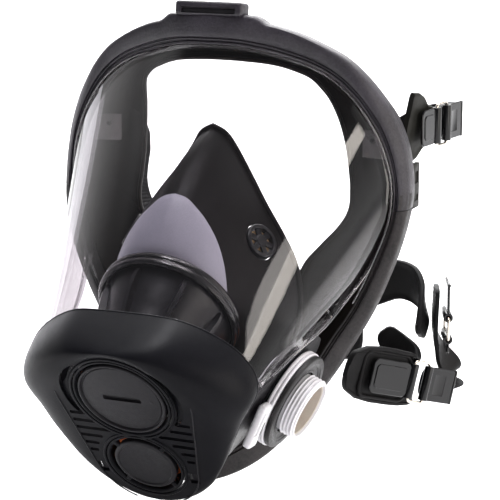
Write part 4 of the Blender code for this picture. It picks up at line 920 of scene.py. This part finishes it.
# ------------------------------------------------------------------ inside
def make_inside():
    n = 61
    f, b = smooth(HOUSING_FRONT, n), smooth(HOUSING_BACK, n)
    half = [[b[k].lerp(f[k], t / 12.0) for t in range(13)] for k in range(n)]
    rows = half + [[mirror(p) for p in r] for r in reversed(half[:-1])]
    ob = shell("housing_shell", rows, 2.2, (0, -75, -20))
    for s in (1, -1):
        ax = PORT_AXIS if s > 0 else mirror(PORT_AXIS)
        c = PORT_C if s > 0 else mirror(PORT_C)
        boolean(ob, rod("relief", 17.4, c - ax * 13.0, c - ax * 18.5, 48))
        boolean(ob, rod("boss", 22.0, c - ax * 6.6, c - ax * 14.0, 64), 'UNION')
        boolean(ob, rod("bore", THREAD_R + 0.6, c - ax * 1, c - ax * 40, 64))
    put(shade(ob, 35), "inner", ["front_housing"])
    prof = [(BELL_R, 58.0), (BELL_R, 54.0), (29.6, 52.0), (28.5, 50.0), (27.0, 44.0), (24.6, 36.0), (22.4, 29.0), (21.8, 22.0), (21.6, 17.0),
            (19.6, 17.0), (19.8, 22.0), (20.2, 30.0), (22.6, 37.0), (25.0, 45.0), (26.2, 50.6), (26.8, 58.0)]
    put(turned("bell_shell", [(r, -h) for r, h in prof], CAP_CENTRE, FACE_N, 96), "inner", ["speech_bell"])
    # radial ribs down the bell
    mt = axes(FACE_N).to_3x3()
    for k in range(8):
        a = 2 * math.pi * (k + 0.25) / 8
        er = mt @ Vector((math.cos(a), math.sin(a), 0))
        et = FACE_N.cross(er)
        rowz = []
        for h, r0, r1 in ((51.0, 27.6, 30.0), (46, 26.5, 30.2), (38, 24.2, 28.6), (30, 21.9, 26.0), (22, 21.2, 23.4)):
            base = CAP_CENTRE - FACE_N * h
            rowz.append([base + er * r0 - et * 1.5, base + er * r0 + et * 1.5, base + er * r1 + et * 0.9, base + er * r1 - et * 0.9])
        put(shade(grid("bell_rib_%02d" % k, rowz, cap_ends=True), 40), "inner")
    col = [(31.6, 58.4), (33.0, 58.0), (33.4, 57.0), (33.4, 55.4), (32.8, 55.0), (32.8, 54.4), (33.4, 54.0), (33.4, 52.2), (32.8, 51.4), (31.6, 51.0), (30.9, 51.4), (30.9, 58.0)]
    put(turned("cup_collar_ring", rounded([(r, -h) for r, h in col], 0.2, 2), CAP_CENTRE, FACE_N, 110), "gloss", ["nose_cup_collar"])
    # nose cup
    half = cup_rows(61, 18)
    for r in (half[0], half[-1]):
        for p in r:
            p.x = 0
    rows = half + [[mirror(p) for p in r] for r in reversed(half[1:-1])]
    rows.append([p.copy() for p in rows[0]])
    ob = shell("cup_body", rows, 1.8, (0, -55, 0))
    for s in (1, -1):
        c, ax = CHECK_C.copy(), CHECK_AXIS.copy()
        if s < 0:
            c, ax = mirror(c), mirror(ax)
        boolean(ob, rod("hole", 8.6, c + ax * 9, c - ax * 9, 48))
    bm = bmesh.new()
    bm.from_mesh(ob.data)
    bmesh.ops.remove_doubles(bm, verts=bm.verts, dist=0.00003)
    bm.to_mesh(ob.data)
    bm.free()
    put(shade(ob, 50), "cup", ["nose_cup"])
    # raised front dome of the cup, an arch over the collar; its light lavender colour is a painted sheen on the same
    # dark silicone as the cup
    lim = 0.43
    patch = []
    for a in range(-36, 37):
        fa = abs(a) / 36 * lim
        tb = 0.50 + 0.485 * (abs(a) / 36) ** 2.1
        k = fa * 60
        k0 = min(int(k), 59)
        row = []
        for j in range(15):
            t = tb + (0.985 - tb) * j / 14
            q = t * 17
            q0 = min(int(q), 16)
            p = (half[k0][q0].lerp(half[k0][q0 + 1], q - q0)).lerp(half[k0 + 1][q0].lerp(half[k0 + 1][q0 + 1], q - q0), k - k0)
            edge = min(1.0, j / 1.6) * min(1.0, (36 - abs(a)) / 2.5)
            nrm = (p - Vector((0, -50, 0))).normalized()
            p = p + nrm * (-0.6 + 1.9 * math.sqrt(max(0.0, 1 - (1 - edge) ** 2)))
            row.append(p if a >= 0 else mirror(p))
        patch.append(row)
    sheen_dome = shell("cup_dome", patch, 1.2, (0, -50, 0))
    put(shade(sheen_dome, 50), "sheen_dome")
    # soft rolled edge of the cup
    e = smooth(CUP_EDGE, 90)
    e[0].x = 0
    e[-1].x = 0
    ring = e + [mirror(p) for p in reversed(e[1:-1])]
    put(tube("cup_edge_roll", [p + Vector((0, -0.9, 0)) for p in ring], 1.25, cyclic=True), "cup")
    # check valves
    for s, side in ((1, "left"), (-1, "right")):
        c, ax = (CHECK_C, CHECK_AXIS) if s > 0 else (mirror(CHECK_C), mirror(CHECK_AXIS))
        seat = turned("check_seat_" + side, rounded([(8.2, 2.2), (7.7, 2.7), (6.4, 2.7), (6.2, 2.0), (6.2, -2.2), (8.2, -2.2)], 0.25), c, ax, 56)
        put(seat, "inner", ["nose_cup_valve_seat_" + side])
        for k in range(3):
            rot = axes(ax).to_3x3() @ Matrix.Rotation(math.pi / 3 * k + 0.4, 3, 'Z')
            put(block("check_spoke_%s_%d" % (side, k), c + ax * 1.5, (12.6, 3.0, 1.0), rot, r=0.3), "inner")
        put(turned("check_hub_" + side, rounded([(0, 2.4), (2.6, 2.4), (3.1, 1.9), (3.1, 1.0), (0, 1.0)], 0.2), c, ax, 28), "inner")
        put(turned("check_leaf_" + side, rounded([(0, 0.4), (5.6, 0.4), (5.9, 0.1), (5.9, -0.4), (0, -0.4)], 0.12), c, ax, 48), "tan",
            ["nose_cup_valve_" + side], body="nose_cup_valve_" + side)


# ------------------------------------------------------------------ cheek ports
def make_ports():
    for s, side in ((1, "left"), (-1, "right")):
        c, ax = (PORT_C, PORT_AXIS) if s > 0 else (mirror(PORT_C), mirror(PORT_AXIS))
        r, L = THREAD_R, THREAD_LEN
        prof = [(PORT_BORE_R, L - 0.5), (r - 1.9, L), (r - 1.1, L), (r - 0.75, L - 0.4)]
        for k in range(4):
            h = L - 0.75 - k * 1.75
            prof += [(r - 0.85, h + 0.05), (r - 0.15, h - 0.35), (r, h - 0.6), (r - 0.15, h - 0.85), (r - 0.85, h - 1.25)]
        prof += [(r - 0.9, -14.3), (16.6, -14.3), (16.6, -16.2), (PORT_BORE_R - 2.6, -16.2),
                 (PORT_BORE_R - 2.6, -14.6), (PORT_BORE_R, -14.6)]
        put(turned("port_thread_" + side, prof, c, ax, 96), "white", ["inhalation_connector_" + side])
        put(turned("port_lining_" + side, [(PORT_BORE_R - 0.02, L - 1.2), (PORT_BORE_R - 0.35, L - 1.5), (PORT_BORE_R - 0.35, -14.3), (PORT_BORE_R - 0.02, -14.3)], c, ax, 72),
            "beige")
        # spider that backs the valve leaf
        for k in range(3):
            rot = axes(ax).to_3x3() @ Matrix.Rotation(math.pi / 3 * k, 3, 'Z')
            put(block("port_spoke_%s_%d" % (side, k), c - ax * 15.4, (20.6, 1.3, 1.2), rot, r=0.25), "beige")
        gp = [(GASKET_R, -0.4), (GASKET_R - 0.4, 0.15), (20.6, 0.2), (19.9, 0.2), (19.6, -0.25), (18.9, -0.35), (18.5, -0.85), (16.6, -0.95), (16.2, -0.6), (r + 0.35, -0.6),
              (r + 0.35, -2.2), (GASKET_R, -2.2)]
        put(turned("port_gasket_" + side, rounded(gp, 0.15, 2), c, ax, 96), "gasket", ["connector_gasket_" + side])
        np_ = [(GASKET_R + 0.1, -2.6), (GASKET_R + 0.6, -3.0), (GASKET_R + 0.6, -3.9), (GASKET_R + 0.1, -4.2), (GASKET_R + 0.1, -4.6), (GASKET_R + 0.6, -4.9),
               (GASKET_R + 0.6, -5.8), (GASKET_R + 0.2, -6.2), (r + 0.4, -6.2), (r + 0.4, -2.6)]
        put(turned("port_ring_" + side, rounded(np_, 0.15, 2), c, ax, 96), "white", ["connector_nut_" + side])
        leaf = turned("port_leaf_" + side, rounded([(0, -16.6), (11.6, -16.6), (11.6, -17.5), (0, -17.5)], 0.25, 2), c, ax, 56)
        put(leaf, "orange", ["inhalation_valve_" + side], body="inhalation_valve_" + side)
        m = Vector((0, -1, 0))
        fwd = (m - ax * m.dot(ax)).normalized()
        upv = ax.cross(fwd) * (1 if s > 0 else -1)
        if upv.z < 0:
            upv = -upv
        rot = Matrix((fwd, upv, ax)).transposed()
        if rot.determinant() < 0:
            rot = Matrix((fwd, -upv, ax)).transposed()
        tab = block("lock_tab_" + side, c + fwd * 28.2 - ax * 4.3 - upv * 6.0, (7.6, 22.0, 4.2), rot, r=1.5, segs=4)
        boolean(tab, block("notch", c + fwd * 25.0 - ax * 2.6 - upv * 8.0, (3.4, 9.0, 3.0), rot, r=0.4))
        boolean(tab, block("notch", c + fwd * 30.5 - ax * 2.2 - upv * 4.0, (2.2, 12.0, 1.6), rot, r=0.3))
        put(shade(tab, 32), "white", ["connector_lock_tab_" + side])
        put(shade(block("lock_tab_pawl_" + side, c + fwd * 25.2 - ax * 3.4 - upv * 8.0, (2.4, 6.4, 1.6), rot, r=0.3), 32), "cap")


# ------------------------------------------------------------------ harness
def band(name, points, wdirs, widths, thick, n, look, nodes=(), ribs=None, rim=0.0, recess=None):
    """Moulded strap: rounded section, optional raised edge, cross ribs and a sunk panel."""
    path = smooth(points, n)
    m = len(points)
    rows = []
    acc = 0.0
    for k in range(n):
        f = (m - 1) * k / (n - 1)
        i = min(int(f), m - 2)
        w = V(wdirs[i]).lerp(V(wdirs[i + 1]), f - i)
        wd = (widths[i] * (1 - f + i) + widths[i + 1] * (f - i)) * 0.5
        a, b = path[max(k - 1, 0)], path[min(k + 1, n - 1)]
        if k:
            acc += (path[k] - path[k - 1]).length
        t = (b - a).normalized()
        w = (w - t * w.dot(t)).normalized()
        nn = t.cross(w).normalized()
        h = thick * 0.5
        g = k / (n - 1)
        ends = min(1.0, g / 0.04, (1 - g) / 0.04)
        wd *= 0.35 + 0.65 * math.sqrt(max(0.0, 1 - (1 - ends) ** 2))
        rib = 0.0
        if ribs:
            ph = (acc % ribs) / ribs
            rib = 0.32 if ph < 0.5 else -0.08
        p = path[k]
        cs = [-1.0, -0.985, -0.95, -0.88, -0.83, -0.6, -0.3, 0.0, 0.3, 0.6, 0.83, 0.88, 0.95, 0.985, 1.0]
        hs = []
        for x in cs:
            ax_ = abs(x)
            e = h * math.sqrt(max(0.0, 1 - max(0.0, (ax_ - 0.93) / 0.07) ** 2)) if ax_ > 0.93 else h
            up = e + (rim if 0.86 < ax_ < 0.99 else 0.0)
            if ribs and ax_ < 0.8:
                up += rib
            if recess and recess[0] < g < recess[1] and ax_ < recess[2]:
                up -= recess[3]
            hs.append((up, e))
        top = [p + w * (wd * x) + nn * u for x, (u, e) in zip(cs, hs)]
        bot = [p + w * (wd * x) - nn * e for x, (u, e) in zip(cs, hs)]
        rows.append(top + list(reversed(bot[1:-1])))
    ob = shade(grid(name, rows, cap_ends=True), 38)
    put(ob, look, list(nodes))
    return ob


BUCKLE_W = 17.0
ROLL_R, ROLL_BORE, WIRE_R = 2.3, 1.15, 0.75


def slab(name, centre, lx, ly, thick, rot, corner, edge=0.35):
    """Flat plate with rounded corners and eased edges; x and y run along the plate."""
    steps = 7
    rows = []
    for inset, z in ((edge, -thick / 2), (0.0, -thick / 2 + edge), (0.0, thick / 2 - edge), (edge, thick / 2)):
        ring = []
        for cx, cy, a0 in ((1, 1, 0), (-1, 1, 90), (-1, -1, 180), (1, -1, 270)):
            for k in range(steps):
                a = math.radians(a0 + 90 * k / (steps - 1))
                r = corner - inset
                ring.append(centre + rot @ Vector((cx * (lx / 2 - corner) + math.cos(a) * r, cy * (ly / 2 - corner) + math.sin(a) * r, z)))
        rows.append(ring)
    return grid(name, rows, cap_ends=True)


def make_buckle(prefix, origin, d, w, base=15.0, finger=16.0, span=11.0):
    d, w = V(d).normalized(), V(w)
    w = (w - d * w.dot(d)).normalized()
    n = d.cross(w)
    o = V(origin)
    a1 = o + d * (base + ROLL_R)
    a2 = a1 + d * span
    rot = Matrix((d, w, n)).transposed()
    # plate with rounded corners, sunk slot and a folded lip
    pl = slab("plate_" + prefix, o + d * (base / 2 + 0.2), base + 0.4, BUCKLE_W, 1.3, rot, min(3.2, base * 0.4))
    if base > 10:
        put(slab("plate_panel_" + prefix, o + d * (base / 2) + n * 0.75, base - 4.0, BUCKLE_W - 5.0, 0.7, rot, 2.4), "enamel")
    put(shade(pl, 32), "enamel", [prefix + "_buckle_plate"])
    roll = turned("plate_roll_" + prefix, rounded([(ROLL_R, BUCKLE_W / 2), (ROLL_R, -BUCKLE_W / 2), (ROLL_BORE, -BUCKLE_W / 2), (ROLL_BORE, BUCKLE_W / 2)], 0.3, 3), a1, w, 40)
    put(roll, "enamel")
    lv = slab("finger_" + prefix, a2 + d * (finger / 2 + 1.2), finger, BUCKLE_W, 1.3, rot, 2.2)
    boolean(lv, block("c", a2 + d * (finger * 0.42 + 1.2) + n * 0.75, (finger * 0.42, BUCKLE_W * 0.6, 0.5), rot, r=0.2))
    put(shade(lv, 32), "enamel", [prefix + "_finger_plate"], body=prefix + "_finger")
    roll = turned("finger_roll_" + prefix, rounded([(ROLL_R, BUCKLE_W / 2), (ROLL_R, -BUCKLE_W / 2), (ROLL_BORE, -BUCKLE_W / 2), (ROLL_BORE, BUCKLE_W / 2)], 0.3, 3), a2, w, 40)
    put(roll, "enamel", body=prefix + "_finger")
    tip = a2 + d * (finger + 1.0)
    put(turned("finger_tip_" + prefix, rounded([(0.85, BUCKLE_W / 2), (0.85, -BUCKLE_W / 2), (0.0, -BUCKLE_W / 2), (0.0, BUCKLE_W / 2)], 0.25, 2), tip + n * 0.2, w, 20),
        "enamel", body=prefix + "_finger")
    hw = BUCKLE_W / 2 + 1.4
    r = 2.0
    pts = []
    for cx, cw, a0 in ((a1, -1, 180), (a1, 1, 90), (a2, 1, 0), (a2, -1, 270)):
        dd = 1 if cx is a2 else -1
        c = cx + w * (hw - r) * cw - d * dd * r * 0.0
        for k in range(6):
            ang = k / 5 * math.pi / 2
            if (dd < 0 and cw < 0):
                q = c + w * (-math.sin(math.pi / 2 - ang) * r) + d * (r - math.cos(math.pi / 2 - ang) * r)
            elif (dd < 0 and cw > 0):
                q = c + w * (math.sin(ang) * r) + d * (r - math.cos(ang) * r)
            elif (dd > 0 and cw > 0):
                q = c + w * (math.cos(ang) * r) + d * (-r + math.sin(ang) * r)
            else:
                q = c + w * (-math.sin(ang) * r) + d * (-r + math.cos(ang) * r)
            pts.append(q)
    put(tube("loop_" + prefix, pts, WIRE_R, cyclic=True, res=4), "steel", [prefix + "_wire_loop"], body=prefix + "_loop")


def flip(points, s):
    return [(p[0] * s, p[1], p[2]) for p in points]


def make_harness():
    for s, side in ((1, "left"), (-1, "right")):
        up = [(80.6, -4.4, 65.4), (81.6, -1.0, 65.0), (82.5, 4, 64.6), (83.4, 12, 64.2), (84.0, 18, 64)]
        band("upper_lug_body_" + side, flip(up, s), flip([(0.12, 0, 1)] * 5, s), [34, 34, 30, 21, 19], 2.6, 60, "olive",
             ["upper_lug_" + side], rim=0.35 * 1.0)
        make_buckle("upper_" + side, (86.8 * s, 1.0, 64.4), V((0.11 * s, 0.994, 0.0)), V((0, 0, 1)) * s, base=14.0, finger=15.0)
        dl = V((0.47, 0.835, -0.28)).normalized()
        nl = dl.cross(V((0, 0, 1))).normalized()
        p0 = V((58.6, -14.9, -50.4))
        lug = [p0 - dl * 2.5, p0 + dl * 2, p0 + dl * 10, p0 + dl * 22, p0 + dl * 34, p0 + dl * 42 - nl * 2.4 + V((0, 0, 1)), p0 + dl * 45 - nl * 9 + V((0, 0, 8)),
               p0 + dl * 42.5 - nl * 15 + V((0, 0, 14.5)), p0 + dl * 38 - nl * 19 + V((0, 0, 21))]
        band("lower_lug_body_" + side, flip(lug, s), flip([(0.1, 0.05, 1)] * 9, s), [18, 26, 28, 28, 27, 25, 20, 15, 9], 3.0, 130, "strap",
             ["lower_lug_" + side], rim=0.55 if s > 0 else 0.55)
        bo = p0 + dl * 10 + nl * 4.4
        make_buckle("lower_" + side, (bo.x * s, bo.y, bo.z), V((dl.x * s, dl.y, dl.z)), V((0, 0, 1)) * s, base=24.0, finger=17.0, span=10.0)
        rw = (V((0, 0, 1)) - dl * dl.z).normalized()
        ring = []
        for cx, cy, a0 in ((1, 1, 0), (-1, 1, 90), (-1, -1, 180), (1, -1, 270)):
            for k in range(9):
                a = math.radians(a0 + 90 * k / 8)
                ring.append(p0 + dl * (21.0 + cx * 10.6 + math.cos(a) * 4.4) + rw * (cy * 6.6 + math.sin(a) * 4.4) + nl * 1.75)
        put(tube("lug_rim_" + side, [q if s > 0 else mirror(q) for q in ring], 0.9, cyclic=True), "strap")
        make_buckle("arm_" + side, (88.9 * s, 37.5, -50.0), V((0.0, 0.0, 1)), V((0.4, -0.9 * s, 0)), base=5.0, finger=15.0)
        st = [p0 + dl * 46 + nl * 0.9, p0 + dl * 56 + nl * 0.9, p0 + dl * 64 + nl * 0.4, p0 + dl * 69 - nl * 3.5 + V((0, 0, 2)),
              V((89.0, 46.5, -62)), V((84.0, 43.0, -52)), V((82.4, 39.6, -42)), V((82.8, 38.0, -32)), V((83.6, 37.2, -18))]
        band("lower_strap_body_" + side, flip(st, s),
             flip([(0, 0, 1), (0, 0, 1), (0.1, 0.1, 1), (0.0, 0.4, 0.9), (-0.1, 0.8, 0.6), (-0.3, 0.9, 0.2), (-0.4, 0.9, 0), (-0.4, 0.9, 0), (-0.4, 0.9, 0)], s),
             [STRAP_W] * 9, STRAP_T, 240, "strap", ["lower_strap_" + side], ribs=2.2)
    band("upper_strap_body_left", [(84.2, 24.0, 64.2), (86.2, 40.5, 64.2), (87.4, 48.5, 63.8), (82.5, 53.6, 63), (71, 51.6, 60.5), (58, 48.4, 52), (49.5, 46.0, 34), (44, 45.5, 10), (30, 48.6, -16)],
         [(0, 0, 1), (0, 0, 1), (0, 0.05, 1), (0.0, 0, 1), (0.25, 0.05, 1), (0.7, 0.15, 0.7), (0.95, 0.2, 0.2), (0.95, 0.1, -0.2), (0.85, 0.1, -0.5)],
         [STRAP_W] * 9, STRAP_T, 260, "strap", ["upper_strap_left"], ribs=2.2)
    band("upper_strap_body_right", [(-84.2, 24.0, 64.2), (-86.2, 40.5, 64.2), (-88.0, 48.5, 63.6), (-88.4, 54.5, 58), (-88, 52, 44), (-84, 44, 16), (-70, 40, 0), (-50, 46, -8), (-34, 51.8, -16)],
         [(0, 0, 1), (0, 0, 1), (0, 0.1, 1), (0.2, 0.3, 0.9), (0.3, 0.9, 0.2), (0.3, 0.9, 0.1), (0.5, 0.3, 0.8), (0.4, 0, 0.9), (0.4, 0, 0.9)],
         [STRAP_W] * 9, STRAP_T, 260, "strap", ["upper_strap_right"], ribs=2.2)
    # head pad and its two arms
    pad = slab("harness_pad", V((0, 56.5, -43.5)), 76, 45, 3.2, Matrix(((1, 0, 0), (0, 0, -1), (0, 1, 0))), 11.0, edge=1.0)
    for zz in (-59.5, -51.5, -43.5, -35.5, -27.5):
        boolean(pad, block("vent", (0, 56.5, zz), (46, 8, 3.2), r=1.4, segs=3))
    put(shade(pad, 32), "strap", ["head_harness"])
    for s, side in ((1, "left"), (-1, "right")):
        band("harness_arm_" + side, flip([(30, 56.4, -31.5), (45, 54.8, -25), (57, 50.8, -20), (67, 46.2, -20), (74.5, 41.0, -25), (77.6, 36.0, -30.6), (78.4, 31.8, -36), (78.2, 28.2, -41.5)], s),
             flip([(0.2, 0, 1), (0.05, 0, 1), (0.0, 0, 1), (0.0, 0.0, 1), (0.0, 0.0, 1), (0.0, -0.3, 1), (0.0, -0.8, 0.8), (0.1, -0.85, 0.55)], s),
             [20, 20, 20, 20, 19, 17, 16, 15], 2.4, 110, "strap", rim=0.3)


make_frames()
make_lens()
make_skirt()
make_cover()
make_face_unit()
make_inside()
make_ports()
make_harness()

# CAD nodes that stay as they are
for node, look in (("speech_diaphragm", "film"), ("exhalation_valve_seat", "inner")):
    ob = NODES[node]
    ob.data.materials.clear()
    ob.data.materials.append(M[look])


# ------------------------------------------------------------------ camera, floor, light
AZ, EL = math.radians(24), math.radians(12)
DIST = 2000.0 / 2.05 / 1000
back = Vector((math.sin(AZ) * math.cos(EL), -math.cos(AZ) * math.cos(EL), math.sin(EL)))
right = Vector((math.cos(AZ), math.sin(AZ), 0))
upv = back.cross(right)
cam = bpy.data.cameras.new("camera")
cam.sensor_width = 36
cam.lens = 144
cam.clip_end = 30
co = bpy.data.objects.new("camera", cam)
SCENE.collection.objects.link(co)
co.matrix_world = Matrix.Translation(back * DIST) @ Matrix((right, upv, back)).transposed().to_4x4()
SCENE.camera = co

bm = bmesh.new()
bmesh.ops.create_grid(bm, x_segments=2, y_segments=2, size=6.0)
me = bpy.data.meshes.new("floor")
bm.to_mesh(me)
bm.free()
floor = bpy.data.objects.new("floor", me)
SCENE.collection.objects.link(floor)
floor.location = (0, 0, FLOOR_Z)
fm = surface("floor_paint", (0.86, 0.86, 0.87), (0.90, 0.90, 0.90), (0.7, 0.8), 40, 0.0, 3)
me.materials.append(fm)

world = bpy.data.worlds.new("studio")
SCENE.world = world
world.use_nodes = True
wt = world.node_tree
bg = wt.nodes["Background"]
bg.inputs[1].default_value = 1.0
wc = wt.nodes.new("ShaderNodeTexCoord")
ws = wt.nodes.new("ShaderNodeSeparateXYZ")
wr = wt.nodes.new("ShaderNodeValToRGB")
wm = wt.nodes.new("ShaderNodeMapRange")
wm.inputs["From Min"].default_value = -1.0
wm.inputs["From Max"].default_value = 1.0
wt.links.new(wc.outputs["Generated"], ws.inputs[0])
wt.links.new(ws.outputs["Y"], wm.inputs["Value"])
wt.links.new(wm.outputs["Result"], wr.inputs["Fac"])
wr.color_ramp.elements[0].position = 0.40
wr.color_ramp.elements[0].color = (0.13, 0.13, 0.14, 1)
wr.color_ramp.elements[1].position = 0.66
wr.color_ramp.elements[1].color = (1.0, 1.0, 1.0, 1)
wt.links.new(wr.outputs["Color"], bg.inputs[0])


def area(name, loc, target, size, power, color=(1, 1, 1), size_y=None):
    li = bpy.data.lights.new(name, 'AREA')
    li.energy = power
    li.color = color
    li.size = size
    if size_y:
        li.shape = 'RECTANGLE'
        li.size_y = size_y
    ob = bpy.data.objects.new(name, li)
    SCENE.collection.objects.link(ob)
    v = (Vector(target) - Vector(loc)).normalized()
    ob.location = loc
    ob.rotation_euler = v.to_track_quat('-Z', 'Y').to_euler()
    return ob


area("top_soft", (0.15, 0.42, 1.45), (0, -0.04, 0.02), 0.9, 26.0, (1.0, 0.99, 1.0), 0.6)
area("key_top", (-0.06, -0.20, 1.42), (0, -0.11, 0.0), 0.42, 15.0, (0.96, 0.96, 1.0), 0.26)
area("left_soft", (-1.25, 0.72, 0.20), (0, -0.04, 0.02), 0.40, 4.0, (0.95, 0.93, 1.0), 1.5)
area("right_strip", (1.30, -0.20, 0.28), (0, -0.04, 0), 0.16, 3.6, (1.0, 0.94, 0.86), 0.9)
area("right_wide", (1.20, -0.52, 0.28), (0, -0.04, 0), 0.50, 5.5, (1.0, 0.96, 0.91), 0.9)
area("right_back", (1.15, 0.66, 0.20), (0, -0.04, 0), 0.30, 4.8, (1.0, 0.95, 0.88), 1.3)
area("floor_wash", (-0.6, 1.6, 1.5), (-0.4, 1.5, -0.1), 2.2, 55.0, (1, 1, 1), 1.6)
area("far_wash", (-1.2, 3.6, 1.6), (-1.2, 3.4, -0.1), 3.0, 110.0, (1, 1, 1), 2.4)
SCENE.view_settings.view_transform = 'Standard'
